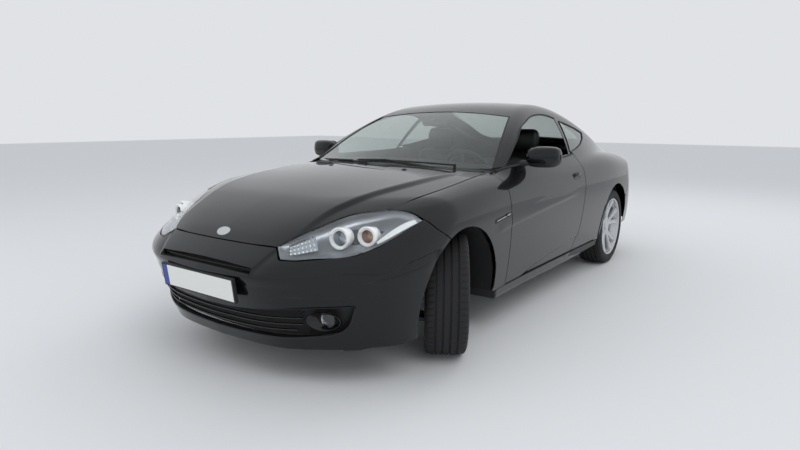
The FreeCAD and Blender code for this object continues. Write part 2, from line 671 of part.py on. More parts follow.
lamp = left_outer.common(prism("front", grow(LAMP, -SHUT_GAP / 2), 1500, 2300)).cut(hood_gap)
lamp_back = body_solid(LAMP_DEPTH, 1200, 2050)
keep_pair("headlamp", lamp.cut(lamp_back))

grille_back = body_solid(GRILLE_SET_BACK, 1600, 2080)
lower = inner_skin.common(prism("front", grow(whole_front(INTAKE), 8), 1600, 2300)).cut(grille_back)
for low_z in GRILLE_GAPS:
    lower = lower.cut(box(1600, 2300, -430, 430, low_z, low_z + GRILLE_GAP_HEIGHT))
fog = Part.makeCylinder(42, 75, V(1920, FOG_Y, FOG_Z), V(1, 0, 0))
keep("lower_grille", lower.cut(fog).cut(mirrored(fog)))
keep_pair("fog_lamp", fog)
upper = inner_skin.common(prism("front", grow(whole_front(SLOT), 8), 1900, 2300)).cut(grille_back)
keep("upper_grille", upper)

plate = prism("side", PLATE_SIDE, -PLATE_HALF_WIDTH, PLATE_HALF_WIDTH)
keep("front_plate", plate)

cowl = outer.common(box(560, 960, -COWL_HALF_WIDTH, COWL_HALF_WIDTH, 700, 1100))
cowl = cowl.cut(hood_gap).cut(inner_cowl).cut(hood_slot).cut(mirrored(hood_slot))
cowl = merged([cowl, hood_pin, mirrored(hood_pin)])
for _, post, _ in WIPERS:
    cowl = cowl.cut(rod(V(*post, 800), V(*post, 1000), WIPER_POST_RADIUS + SEAT_GAP))
keep("cowl", cowl)

# Cabin frame, glass, doors and their handles and mirrors
windscreen_tool = prism("plan", whole(WINDSCREEN_HALF), 850, 1400)
door_window = prism("side", grow(DOOR_WINDOW, SHUT_GAP / 2), 400, 1000)
quarter_window = prism("side", QUARTER_WINDOW, 400, 1000)
frame = cabin_outer.common(box(-2300, 2300, 0, 1100, 850, 1400)).cut(cabin_inner).cut(outer)
frame = frame.cut(door_window).cut(quarter_window).cut(windscreen_tool).cut(hatch_gap).cut(door_gap)
frame = frame.common(box(-2300, 2300, 0, 1100, 850, 1400))
hatch_slot = lid_slot(HATCH_HINGE_X, HATCH_HINGE_Y, HATCH_HINGE_Z, -40)
hatch_pin = lid_pin(HATCH_HINGE_X, HATCH_HINGE_Y, HATCH_HINGE_Z)
frame = merged([frame.cut(hatch_slot), hatch_pin])
keep("roof_frame", frame.fuse(mirrored(frame)).removeSplitter())
glass_outer = cabin_solid(GLASS_SET_BACK)
glass_inner = cabin_solid(GLASS_SET_BACK + GLASS_THICK)
keep("windscreen", glass_outer.common(windscreen_tool).cut(glass_inner).cut(outer))
keep_pair("quarter_glass", glass_outer.common(quarter_window).cut(glass_inner).cut(outer))
pane_drop = SHUT_GAP - SEAT_GAP
pane = [(x, z - pane_drop if (x, z) in DOOR_WINDOW_SILL else z, r) for x, z, r in DOOR_WINDOW]
door_pane = prism("side", grow(pane, -SHUT_GAP / 2), 400, 1000)
door_pane = door_pane.common(prism("side", grow(DOOR_WINDOW, SHUT_GAP / 2 - SEAT_GAP), 400, 1000))
keep("door_glass_right", mirrored(glass_outer.common(door_pane).cut(glass_inner).cut(outer)))

handle_tool = prism("side", HANDLE, HANDLE_BACK_Y, 1000)
door_core = prism("side", grow(DOOR, -DOOR_INNER_STEP), DOOR_INNER_Y, DOOR_STEP_Y)
door = left_outer.common(door_tool).common(door_core.fuse(box(-600, 800, DOOR_STEP_Y, 1000, 200, 1000)))
belt = cabin_outer.common(prism("side", DOOR, DOOR_INNER_Y, 1000)).cut(cabin_inner).cut(door_window)
belt = belt.common(box(-600, 800, 0, 1000, 880, 965))
keep_pair("door", merged([door.cut(handle_tool), belt] + [door_arm(z) for z in DOOR_HINGE_ZS]))
handle = left_outer.common(handle_tool).cut(box(-345, -300, 836, 1000, 796, 822))
keep_pair("door_handle", handle)
mirror = prism("plan", MIRROR_PLAN, 922, 1046).common(prism("front", MIRROR_FRONT, 300, 500))
foot = prism("front", MIRROR_FOOT, 405, 465)
keep_pair("mirror", mirror.fuse(foot).cut(body_clear).cut(glass_clear).removeSplitter())

# Rear: quarters, hatch, lamps and bumper cover
quarter = left_outer.common(box(-2300, -380, 480, 1000, SILL_TOP_Z, 1100)).cut(inner_wall).cut(door_gap)
quarter = quarter.cut(prism("side", grow(REAR_JOINT, SHUT_GAP / 2), -10, 1000)).cut(hatch_gap).cut(rear_arch)
quarter = quarter.cut(cabin_inner)
tail_tool = prism("front", TAIL_LAMP, -2300, -1880)
keep_pair("quarter", quarter.cut(tail_tool))
tail = left_outer.common(tail_tool).cut(hatch_gap)
keep_pair("tail_lamp", tail.cut(body_solid(QUARTER_WALL, -2120, -1500)))

upper_form = outer.fuse(cabin_outer)
hatch = upper_form.common(hatch_tool).cut(body_solid(HATCH_THICK, -2140, -200)).cut(cabin_solid(HATCH_THICK))
backlight_tool = prism("plan", whole(BACKLIGHT_HALF), 1000, 1400)
hatch_lug = lid_lug(HATCH_HINGE_X, HATCH_HINGE_Y, HATCH_HINGE_Z, -40)
keep("tailgate", merged([hatch.cut(backlight_tool), hatch_lug, mirrored(hatch_lug)]))
keep("backlight", glass_outer.common(backlight_tool).cut(glass_inner))

rear_skin = left_outer.common(prism("side", grow(REAR_JOINT, -SHUT_GAP / 2), -0.01, 1000)).cut(inner_skin)
rear_skin = rear_skin.cut(rear_arch)
keep("rear_bumper", rear_skin.fuse(mirrored(rear_skin)).removeSplitter())

# Floor, sills, pillars at the door hinges, rear step and boot floor
floor_pan = box(-868, 866, -735, 735, 215, 232)
sill = outer.common(box(-868, 900, 690, 1000, 190, 262))
tunnel = box(-650, 866, -120, 120, 232, 400).cut(box(-700, 900, -100, 100, 232, 385))
bench_base = box(-1080, -690, -500, 500, 232, BENCH_CUSHION[0][1] - SEAT_GAP)
dash_wall = box(DASH_WALL_X, DASH_WALL_X + DASH_WALL_THICK, -735, 735, 215, 850)
dash_wall = dash_wall.cut(box(860, 890, -90, 90, 210, 330))
hinge_post = inner_cowl.common(box(770, 866, 655, 729, 232, 1000))
step = box(-1110, -1095, -553, 553, 215, 450).fuse(box(-1110, -868, -553, 553, 215, 232))
boot = box(-2080, -1095, -553, 553, 435, 450)
back_wall = box(-2076, -2062, -530, 530, 320, 640)
rear_beam = box(-2110, -2080, -440, 440, 430, 530)
rear_mount = box(-1320, -1180, 270, 320, 300 + SEAT_GAP, 435)
door_brackets = [door_bracket(z) for z in DOOR_HINGE_ZS]
paired = [sill, hinge_post, rear_mount] + door_brackets
floor_parts = [floor_pan, tunnel, dash_wall, step, boot, back_wall, rear_beam, bench_base]
keep("floor_pan", merged(floor_parts + paired + [mirrored(p) for p in paired]))

# Front frame under the hood
rail = box(882, 1990, 385, 437, 300, 400)
apron = box(882, 1950, 437, 446, 300, 700).cut(box(1850, 2000, 430, 450, 630, 800))
apron = apron.fuse(box(1130, 1435, 437, 446, 690, TOWER_Z + 12))
tower = box(1182, 1383, 437, 650, TOWER_Z, TOWER_Z + 12)
tower = tower.cut(rod(king_point(TOWER_Z - 40), king_point(TOWER_Z + 60), STRUT_STUD_RADIUS + SEAT_GAP))
lamp_bracket = lamp_back.common(box(1700, 1830, 440, 720, 655, 700))
mount = box(1250, 1320, ENGINE_HALF_WIDTH + SEAT_GAP, 385, 360, 396)
side_frame = merged([rail, apron, tower, lamp_bracket, mount])
beam = inner_skin.common(box(1990, 2140, -470, 470, 425, 500))
lamp_room = prism("front", grow(LAMP, SHUT_GAP), 1900, 2050)
support = box(1950, 1990, -446, 446, 250, 640).cut(box(1940, 2000, -360, 360, 290, 610))
support = support.cut(lamp_room).cut(mirrored(lamp_room))
core = box(1955, 1985, -360, 360, 290, 610)
keep("front_frame", merged([side_frame, mirrored(side_frame), beam, support, core]))
keep("engine_block", prism("side", ENGINE, -ENGINE_HALF_WIDTH, ENGINE_HALF_WIDTH))

# Wheelhouse liners
for name, x, first_y, last_y, low_z in LINERS:
    shell = arch(x, 385, first_y, last_y).cut(arch(x, 375, first_y - 1, last_y + 1))
    if name == "rear_liner":
        shell = shell.fuse(arch(x, 385, first_y - 7, first_y)).cut(quarter)
        shell = shell.cut(box(x - 50, x + 90, first_y - 20, first_y + 5, 200, 420))
    else:
        shell = shell.cut(rod(king_point(600), king_point(760), STRUT_HOLE_RADIUS))
    shell = shell.common(box(x - 400, x + 400, 0, 1000, low_z, 760))
    keep_pair(name, shell.common(inner_wide).removeSplitter())

# Wheels, tyres and brake discs, drawn at the origin with the outside towards +Y
spoke = merged([box(-13, 13, 42, 66, 40, 214).rotate(V(0, 0, 0), V(0, 1, 0), a) for a in (-9, 9)])
spokes = [spoke.copy().rotate(V(0, 0, 0), V(0, 1, 0), 72 * i) for i in range(5)]
discs = [disc(74, 30, 62), disc(32, 62, 70), disc(150, -27, -5), disc(78, -27, 30)]
wheel = merged([ring_of(RIM)] + discs + spokes)
wheel = wheel.cut(disc(SPINDLE_RADIUS + SEAT_GAP, -40, 50))
for i in range(5):
    stud = Part.makeCylinder(STUD_HOLE_RADIUS, 60, V(0, 10, STUD_CIRCLE / 2), V(0, 1, 0))
    wheel = wheel.cut(stud.rotate(V(0, 0, 0), V(0, 1, 0), 72 * i + 36))
tyre = ring_of(TYRE)


for side, heading in (("left", STEER_LEFT_DEG), ("right", -STEER_RIGHT_DEG)):
    face = mirrored if side == "right" else (lambda s: s)
    keep("knuckle_" + side, face(knuckle(heading)))
    keep("wheel_front_" + side, face(front_hub(wheel, heading)))
    keep("tyre_front_" + side, face(front_hub(tyre, heading)))
rear_place = V(REAR_AXLE_X, TRACK / 2, TYRE_RADIUS)
for name, shape in (("wheel_rear", wheel), ("tyre_rear", tyre)):
    keep_pair(name, shape.copy().translate(rear_place))

arm_end = king_point(170).y + 18
arm_x = (FRONT_AXLE_X - 26, FRONT_AXLE_X + 26)
lower_arm = prism("plan", [(1150, 380), (1415, 380), (arm_x[1], arm_end - 37, 20), (arm_x[1], arm_end, 24),
                           (arm_x[0], arm_end, 24), (arm_x[0], arm_end - 37, 20)], 160, 180)
ball_pin = rod(king_point(165), king_point(230), BALL_PIN_RADIUS)
arm_side = merged([lower_arm, ball_pin, box(1150, 1415, 300, 390, 160, 300)])
keep("front_subframe", merged([box(1180, 1385, -310, 310, 180, 240), arm_side, mirrored(arm_side)]))
hubs = [disc(SPINDLE_RADIUS, -60, 48).translate(rear_place), disc(46, -92, -52).translate(rear_place)]
link_end = TRACK / 2 - 60
links = [box(-1275, -1220, 300, link_end - 25, 240, 290), box(-1275, -1220, link_end - 32, link_end, 240, 380)]
damper = [rod(V(-1200, 610, 270), V(-1200, 590, 560), 22), box(-1220, -1180, 580, 660, 255, 285)]
rear_side = merged(hubs + links + damper)
keep("rear_axle", merged([box(-1380, -1130, -320, 320, 232, 300), rear_side, mirrored(rear_side)]))

# Inside the cabin
dash = inner_cowl.common(prism("side", DASH, -700, 700))
column_axis = V(-math.cos(math.radians(COLUMN_DEG)), 0, math.sin(math.radians(COLUMN_DEG)))
column_bore = rod(WHEEL_CENTRE, WHEEL_CENTRE - column_axis * 170, COLUMN_RADIUS + SEAT_GAP)
shroud = rod(WHEEL_CENTRE - column_axis * 60, WHEEL_CENTRE - column_axis * 200, 42)
keep("dashboard", merged([dash, shroud.common(box(0, 560, 0, 700, 600, 900))]).cut(column_bore))
rim = Part.makeTorus(175, 15, V(0, 0, 0), V(0, 0, 1))
boss = Part.makeCylinder(62, 34, V(0, 0, -20))
column = Part.makeCylinder(COLUMN_RADIUS, 150, V(0, 0, -150))
hand = merged([rim, boss, column, box(-172, 172, -16, 16, -12, 4), box(-14, 14, -172, 0, -12, 4)])
hand.Placement = FreeCAD.Placement(WHEEL_CENTRE, FreeCAD.Rotation(V(0, 0, 1), column_axis))
keep("steering_wheel", hand)
seat_parts = [(SEAT_CUSHION, 250), (SEAT_BACK, 245), (HEAD_REST, 130)]
seat = [prism("side", profile, SEAT_Y - half, SEAT_Y + half) for profile, half in seat_parts]
keep_pair("seat", merged(seat + [box(-300, 60, SEAT_Y - 200, SEAT_Y + 200, 232, 330)]))
keep("rear_seat", merged([prism("side", BENCH_CUSHION, -535, 535), prism("side", BENCH_BACK, -535, 535)]))
mirror_glass = prism("front", INNER_MIRROR, 196, 222)
stem = rod(V(215, 0, 1185), V(300, 0, 1215), 9).common(glass_inner)
keep("interior_mirror", mirror_glass.fuse(stem).removeSplitter())

# Wipers: a post in the cowl, an arm, and a blade on the glass
for name, post, ends in WIPERS:
    foot = V(*post, 902)
    head = V(*post, 944)
    first, eye, last = [on_glass(x, y, BLADE_RISE) for x, y in ends]
    blade = [rod(first, eye, BLADE_RADIUS), rod(eye, last, BLADE_RADIUS), Part.makeSphere(BLADE_RADIUS, eye)]
    arm = merged(blade + [rod(head - V(0, 0, 6), eye, ARM_RADIUS)]).cut(glass_clear).cut(body_clear)
    keep("wiper_" + name, merged([rod(foot, head, WIPER_POST_RADIUS), arm]))

# The silencer, its pipe and its hangers
pipe = [V(1000, -150, 182), V(-1500, -150, 182)]
hangers = [rod(V(x, -150, 190), V(x, -150, 215 - SEAT_GAP), 8) for x in (500, -600)]
hangers.append(rod(V(-1700, -260, 300), V(-1700, -260, 435 - SEAT_GAP), 8))
keep("exhaust", merged([rod(pipe[0], pipe[1], 28), box(-2000, -1480, -480, -40, 190, 320),
                        rod(V(-1990, -330, 250), V(-2215, -330, 250), 34)] + hangers))

for name, shape in NODES.items():
    shape.exportStep("parts/%s.step" % name)
    b = shape.BoundBox
    print(name, shape.isValid(), len(shape.Solids), round(shape.Volume / 1e6, 2),
          [round(v) for v in (b.XMin, b.XMax, b.YMin, b.YMax, b.ZMin, b.ZMax)])
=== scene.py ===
# %% [markdown]
# A two-door coupe in clear-coated black paint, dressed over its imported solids.
# Everything is in metres: +X points to the nose, +Y to the car's left, +Z up, and the ground is at z = 0.
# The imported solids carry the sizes. The pieces made here are thin surfaces laid on the same body form.

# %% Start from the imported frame
import bpy
import bmesh
import math
import numpy as np
from mathutils import Matrix, Vector


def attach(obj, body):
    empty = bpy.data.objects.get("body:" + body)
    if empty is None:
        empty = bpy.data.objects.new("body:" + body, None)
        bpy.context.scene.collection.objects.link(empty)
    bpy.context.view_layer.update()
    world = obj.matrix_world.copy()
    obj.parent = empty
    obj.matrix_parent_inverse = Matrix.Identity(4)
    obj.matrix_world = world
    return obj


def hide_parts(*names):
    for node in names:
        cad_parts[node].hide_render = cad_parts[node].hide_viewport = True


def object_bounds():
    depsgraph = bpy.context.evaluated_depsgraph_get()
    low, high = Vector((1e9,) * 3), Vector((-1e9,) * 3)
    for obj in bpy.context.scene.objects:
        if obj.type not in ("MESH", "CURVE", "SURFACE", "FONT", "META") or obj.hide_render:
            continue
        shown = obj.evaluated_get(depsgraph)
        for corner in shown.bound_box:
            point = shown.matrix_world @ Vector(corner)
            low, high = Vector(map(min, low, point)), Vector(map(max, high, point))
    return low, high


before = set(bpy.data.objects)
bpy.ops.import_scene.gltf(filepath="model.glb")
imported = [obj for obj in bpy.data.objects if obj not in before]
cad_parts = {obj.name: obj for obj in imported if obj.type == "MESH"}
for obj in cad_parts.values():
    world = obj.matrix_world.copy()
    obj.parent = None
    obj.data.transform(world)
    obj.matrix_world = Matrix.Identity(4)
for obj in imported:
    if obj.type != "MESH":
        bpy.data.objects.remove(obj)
cad_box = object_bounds()
print("solids reach from", cad_box[0], "to", cad_box[1])

# %% [markdown]
# Colours are written as they look on a screen, in sRGB hex. Blender's sockets want linear light,
# so one function undoes the sRGB curve. One more function adds a node with its settings and links.


# %% Colour and node helpers
def linear(code):
    """Linear red, green, blue and alpha of an sRGB hex code: each channel c becomes ((c + 0.055) / 1.055)
    ** 2.4.
    """
    srgb = np.array([int(code[i:i + 2], 16) for i in (1, 3, 5)]) / 255
    light = np.where(srgb <= 0.04045, srgb / 12.92, ((srgb + 0.055) / 1.055) ** 2.4)
    return (*light.tolist(), 1.0)


def add_node(tree, kind, values=None, **settings):
    """Adds a node. Values fill its inputs by name or number: a socket is linked, anything else is set."""
    node = tree.nodes.new(kind)
    for key, value in settings.items():
        setattr(node, key, value)
    for key, value in (values or {}).items():
        if isinstance(value, bpy.types.NodeSocket):
            tree.links.new(value, node.inputs[key])
        else:
            node.inputs[key].default_value = value
    return node


def new_material(name, code, **inputs):
    """A Principled material in one colour. Underscores in the input names stand for spaces."""
    made = bpy.data.materials.new(name)
    made.use_nodes = True
    shader = made.node_tree.nodes["Principled BSDF"]
    shader.inputs["Base Color"].default_value = linear(code)
    for key, value in inputs.items():
        shader.inputs[key.replace("_", " ")].default_value = value
    return made


def grain(made, size_mm, height_mm, detail=3.0):
    """Gives a material a fine bump: Object-space noise whose lumps are size_mm wide and height_mm high."""
    tree = made.node_tree
    place = add_node(tree, "ShaderNodeTexCoord")
    noise = add_node(tree, "ShaderNodeTexNoise", {"Vector": place.outputs["Object"],
                                                  "Scale": 1000 / size_mm, "Detail": detail})
    bump = add_node(tree, "ShaderNodeBump", {"Height": noise.outputs["Fac"], "Distance": height_mm / 1000,
                                             "Strength": 1.0})
    tree.links.new(bump.outputs["Normal"], tree.nodes["Principled BSDF"].inputs["Normal"])
    return made


def lets_light_in(made):
    """Shadow rays pass clear glass and plastic, so the lamps light what lies behind a pane."""
    tree = made.node_tree
    path = add_node(tree, "ShaderNodeLightPath")
    clear = add_node(tree, "ShaderNodeBsdfTransparent", {"Color": (0.86, 0.88, 0.87, 1.0)})
    shader = tree.nodes["Principled BSDF"]
    mix = add_node(tree, "ShaderNodeMixShader", {0: path.outputs["Is Shadow Ray"], 1: shader.outputs[0],
                                                 2: clear.outputs[0]})
    tree.links.new(mix.outputs[0], tree.nodes["Material Output"].inputs["Surface"])
    return made


print("black enamel in linear light:", linear("#08090B"))

# %% [markdown]
# The finishes. Body panels are steel under black metallic enamel and a clear lacquer: dark, with a mirror-
# like coat whose reflections do the drawing. Bumper covers carry the same enamel. Trim below the windscreen
# and in the grilles is moulded plastic with a fine grain, which scatters light and stays grey-black.

# %% Paint, plastic, glass, metal, rubber and leather
ENAMEL = new_material("black_metallic_enamel", "#08090B", Metallic=0.05, Roughness=0.38,
                      Specular_IOR_Level=0.05, Coat_Weight=1.0, Coat_IOR=1.42, Coat_Roughness=0.015)
TRIM = grain(new_material("grained_black_polypropylene", "#1B1B1C", Roughness=0.55), 0.9, 0.03)
GLOSS_TRIM = new_material("smooth_black_abs", "#0E0E0F", Roughness=0.18)
WINDOW = lets_light_in(new_material("tinted_float_glass", "#D2DCD8", Roughness=0.0, IOR=1.52,
                                    Transmission_Weight=1.0))
LENS = lets_light_in(new_material("clear_polycarbonate", "#F4F6F8", Roughness=0.0, IOR=1.45,
                                  Transmission_Weight=1.0))
RED_LENS = new_material("red_polycarbonate", "#5E0508", Roughness=0.05, IOR=1.5)
WARM = new_material("gold_coated_reflector", "#DDB592", Metallic=0.7, Roughness=0.22)
CHROME = new_material("bright_chrome_plating", "#D2D4D6", Metallic=1.0, Roughness=0.07)
BOWL = new_material("satin_metallised_bowl", "#A7ABB0", Metallic=0.75, Roughness=0.3)
# White plastic of the lamp rings. The same white also paints a highlight: the tapering strip in each headlamp
# stands for the sky's reflection on the lens.
WHITE_RING_PLASTIC_AND_PAINTED_HIGHLIGHT = new_material("white_polycarbonate_and_painted_highlight", "#F0F1F0", Roughness=0.25, Coat_Weight=0.5)
REFLECTOR = new_material("vapour_coated_aluminium", "#B9BDC1", Metallic=1.0, Roughness=0.16)
ALLOY = new_material("silver_lacquered_aluminium", "#C3C5C7", Metallic=0.8, Roughness=0.26,
                     Coat_Weight=0.6, Coat_Roughness=0.06)
IRON = new_material("turned_cast_iron", "#77777A", Metallic=0.9, Roughness=0.38)
STEEL = new_material("primed_sheet_steel", "#3A3B3D", Metallic=0.4, Roughness=0.5)
TYRE_RUBBER = grain(new_material("carbon_black_tyre_rubber", "#1A1A1B", Roughness=0.72), 1.5, 0.05)
LEATHER = grain(new_material("grained_black_leather", "#131214", Roughness=0.42), 2.2, 0.12, 5.0)
CARPET = grain(new_material("needled_black_carpet", "#161617", Roughness=0.95), 1.2, 0.3)
PLATE_WHITE = new_material("white_reflective_sheet", "#E4E5E2", Roughness=0.35)
PLATE_BLUE = new_material("blue_reflective_sheet", "#1D3F9A", Roughness=0.35)
MIRROR_GLASS = new_material("silvered_mirror_glass", "#DDE0E2", Metallic=1.0, Roughness=0.01)

# %% [markdown]
# The body form. A panel shop describes a car body by a few curves: how wide each section is, how high the
# hood line runs, how the nose and tail are rounded in plan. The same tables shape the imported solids, so the
# surfaces made here lie exactly on them. A body is the part of space where every one of these limits is
# kept.


# %% Curves through tables
def curve(rows):
    """The natural cubic through (x, value) rows in mm, straight beyond its ends, as a function of metres.
    """
    table = np.array(rows, float) / 1000
    table = table[np.argsort(table[:, 0])]
    xs, ys = table[:, 0], table[:, 1]
    n, gap = len(xs), np.diff(xs)
    system, right = np.eye(n), np.zeros(n)
    for i in range(1, n - 1):
        system[i, i - 1:i + 2] = gap[i - 1], 2 * (gap[i - 1] + gap[i]), gap[i]
        right[i] = 6 * ((ys[i + 1] - ys[i]) / gap[i] - (ys[i] - ys[i - 1]) / gap[i - 1])
    bend = np.linalg.solve(system, right)
    first = (ys[1] - ys[0]) / gap[0] - gap[0] * bend[1] / 6
    last = (ys[-1] - ys[-2]) / gap[-1] + gap[-1] * bend[-2] / 6

    def value(x):
        x = np.asarray(x, float)
        inside = np.clip(x, xs[0], xs[-1])
        i = np.clip(np.searchsorted(xs, inside, side="right") - 1, 0, n - 2)
        a, b, h = xs[i + 1] - inside, inside - xs[i], gap[i]
        cubic = (bend[i] * a ** 3 + bend[i + 1] * b ** 3) / (6 * h)
        cubic = cubic + (ys[i] / h - bend[i] * h / 6) * a + (ys[i + 1] / h - bend[i + 1] * h / 6) * b
        return cubic + np.minimum(x - xs[0], 0) * first + np.maximum(x - xs[-1], 0) * last

    return value


# %% The tables, in millimetres
WAIST = curve([(-2200, 800), (-1900, 845), (-1600, 868), (-1250, 880), (-800, 876), (-300, 866),
               (300, 862), (800, 868), (1280, 880), (1600, 872), (1950, 830), (2200, 760)])
TUCK = curve([(-2200, 40), (-1900, 44), (-1600, 43), (-1250, 36), (-800, 34), (-300, 31), (300, 30),
              (800, 32), (1280, 32), (1600, 37), (1950, 40), (2200, 40)])
DROP = curve([(-2200, 110), (-1900, 92), (-1600, 82), (-1250, 70), (-800, 70), (-300, 71), (300, 74),
              (800, 86), (1280, 110), (1600, 134), (1950, 172), (2200, 185)])
TOP = curve([(2090, 652), (2048, 686), (2000, 715), (1900, 766), (1800, 802), (1600, 850), (1400, 883),
             (1200, 906), (950, 926), (700, 938), (200, 950), (-500, 955), (-1000, 965), (-1400, 985),
             (-1700, 985), (-1950, 955), (-2120, 925)])
FALL = curve([(2090, 50), (1900, 50), (1700, 42), (1500, 42), (1200, 45), (950, 40), (700, 35), (200, 20),
              (-500, 15), (-1000, 20), (-1500, 60), (-2000, 100)])
NOSE_PLAN = curve([(0, 0), (200, 10), (360, 36), (490, 90), (600, 158), (700, 245), (780, 340), (840, 460),
                   (900, 660)])
TAIL_PLAN = curve([(0, 0), (300, 20), (500, 60), (650, 140), (750, 240), (820, 380), (880, 600)])
NOSE_SIDE = curve([(170, 2085), (250, 2115), (400, 2165), (500, 2196), (540, 2203), (580, 2187),
                   (652, 2100), (686, 2055), (720, 2000), (800, 1830)])
TAIL_SIDE = curve([(250, -2142), (350, -2192), (500, -2217), (600, -2212), (750, -2162), (900, -2112),
                   (940, -2092), (1000, -1972)])
UNDER = curve([(-2200, 275), (-1900, 250), (-1250, 225), (-800, 205), (300, 200), (900, 200), (1600, 190),
               (2150, 168)])
ROOF = curve([(920, 925), (650, 1045), (400, 1148), (200, 1222), (100, 1256), (0, 1286), (-100, 1308),
              (-250, 1326), (-400, 1329), (-600, 1312), (-800, 1270), (-1000, 1212), (-1300, 1115),
              (-1600, 1020), (-1900, 930)])
CROWN = curve([(900, 260), (653, 235), (400, 160), (130, 100), (-100, 90), (-400, 100), (-800, 120),
               (-1200, 130), (-1600, 120)])
CABIN = curve([(950, 700), (650, 745), (300, 768), (-300, 772), (-800, 748), (-1200, 695), (-1600, 610),
               (-2000, 520)])


# %% The form itself
def blend_max(a, b, width):
    """The larger of a and b, rounded where they cross: max(a, b) + (width - |a - b|)^2 / (4 width) near the
    crossing.
    """
    near = np.maximum(width - np.abs(a - b), 0) / width
    return np.maximum(a, b) + near * near * width / 4


def lower_form(p):
    """Below zero inside the body under the belt: side, top, nose, tail and underside limits, joined by
    rounded maxima.
    """
    x, y, z = p[..., 0], np.abs(p[..., 1]), p[..., 2]
    tuck = TUCK(x) * (np.maximum(0.6 - z, 0) / 0.35) ** 1.8
    drop = DROP(x) * (np.maximum(z - 0.6, 0) / 0.32) ** 2.8
    form = blend_max(y - (WAIST(x) - tuck - drop), z - (TOP(x) - FALL(x) * (y / 0.7) ** 2.2), 0.1)
    form = blend_max(form, 0.8 * (x - NOSE_SIDE(z) + NOSE_PLAN(y)), 0.05)
    form = blend_max(form, 0.9 * (TAIL_SIDE(z) + TAIL_PLAN(y) - x), 0.05)
    return blend_max(form, UNDER(x) - z, 0.02)


def cabin_form(p):
    """The same for the cabin: leaning, bowed sides and a crowned roof, rounded over 60 mm."""
    x, y, z = p[..., 0], np.abs(p[..., 1]), p[..., 2]
    up = z - 0.95
    side = y - (CABIN(x) - 0.45 * up - 0.75 * np.maximum(up, 0) ** 2)
    return blend_max(side, z - (ROOF(x) - CROWN(x) * y ** 2), 0.06)


def whole_form(p):
    """Body and cabin together, with a 30 mm fillet where they meet. The cabin ends at z = 0.86 and x =
    -1.9.
    """
    ends = np.maximum(-1.9 - p[..., 0], 0.6 * (0.86 - p[..., 2]))
    return -blend_max(-lower_form(p), -np.maximum(cabin_form(p), ends), 0.03)


def cast(form, start, way, set_in=0.0, reach=1.7):
    """Where rays from start along way leave the form set in by set_in, found by halving the distance 32
    times.
    """
    start, way = np.broadcast_arrays(np.asarray(start, float), np.asarray(way, float))
    near, far = np.zeros(start.shape[:-1]), np.full(start.shape[:-1], reach)
    for _ in range(32):
        middle = (near + far) / 2
        inside = form(start + middle[..., None] * way) < -set_in
        near, far = np.where(inside, middle, near), np.where(inside, far, middle)
    return start + near[..., None] * way


def outward(form, p, step=0.002):
    """The unit normal of the form at p, from central differences."""
    slopes = [form(p + d) - form(p - d) for d in np.eye(3) * step]
    n = np.stack(slopes, axis=-1)
    return n / np.linalg.norm(n, axis=-1, keepdims=True)


print("hood line at x = 1.5 m:", float(TOP(1.5)), "half width there:", float(WAIST(1.5)))

# %% [markdown]
# Panels. A pressed panel has four sides, which can be bent but meet at four corners. The two-parameter
# surface between them is a Coons patch: lines drawn across between one pair of sides, plus lines between
# the other pair, less the straight blend of the corners. It is worked out in a flat sheet of ray
# directions, and each ray is then cast on the body form, so the panel's edge follows its shut line while
# its face stays on the body.


# %% Smooth edges and patches between them
def along(points, t, straight=False):
    """The points at shares t of a line's length: straight between its points, or on natural cubics through
    them.
    """
    points = np.asarray(points, float)
    steps = np.linalg.norm(np.diff(points, axis=0), axis=1)
    at = np.concatenate([[0], np.cumsum(steps)]) / steps.sum()
    if straight or len(points) < 3:
        return np.stack([np.interp(t, at, c) for c in points.T], axis=-1)
    return np.stack([curve(np.stack([at, c], 1) * 1000)(t) for c in points.T], axis=-1)


def sides_to_patch(low, high, first, last, counts, margins=(0, 0, 0, 0)):
    """The Coons patch of four point lists, as a grid of counts points. Margins are shares cut off each
    side.

    A list of more than 11 points is taken as a dense line with corners, a shorter one as a smooth curve.
    """
    u = np.linspace(margins[0], 1 - margins[1], counts[0])
    v = np.linspace(margins[2], 1 - margins[3], counts[1])
    corners = (low[0], low[-1], high[0], high[-1])
    sides_at = ((low, u), (high, u), (first, v), (last, v))
    sampled = [along(line, t, straight=len(line) > 11) for line, t in sides_at]
    s, t = u[:, None, None], v[None, :, None]
    a, b, c, d = (np.asarray(p, float) for p in corners)
    blend = (1 - s) * ((1 - t) * a + t * c) + s * ((1 - t) * b + t * d)
    across = (1 - t) * sampled[0][:, None] + t * sampled[1][:, None]
    return across + (1 - s) * sampled[2][None] + s * sampled[3][None] - blend


# %% Rays: flat sheets of directions over the form
SECTION_Z = 0.45
CABIN_Z = 0.75
NOSE_FROM = (1.2, 0.0, 0.40)
TAIL_FROM = (-1.3, 0.0, 0.50)


def section_rays(q, height=SECTION_Z):
    """Rays in the plane x = q0 from the middle, q1 radians above level."""
    x, a = q[..., 0], q[..., 1]
    zero = np.zeros_like(x)
    return np.stack([x, zero, zero + height], -1), np.stack([zero, np.cos(a), np.sin(a)], -1)


def cabin_rays(q):
    return section_rays(q, CABIN_Z)


def nose_rays(q, centre=NOSE_FROM, forward=1.0):
    """Rays from a point inside the nose: q0 radians round from straight ahead, q1 radians up."""
    a, b = q[..., 0], q[..., 1]
    way = np.stack([forward * np.cos(b) * np.cos(a), np.cos(b) * np.sin(a), np.sin(b)], -1)
    return np.broadcast_to(centre, way.shape), way


def tail_rays(q):
    return nose_rays(q, TAIL_FROM, -1.0)


def plan_rays(q):
    """Upright rays at x = q0, y = q1."""
    x, y = q[..., 0], q[..., 1]
    return np.stack([x, y, np.zeros_like(x) + 0.5], -1), np.broadcast_to((0.0, 0.0, 1.0), (*x.shape, 3))


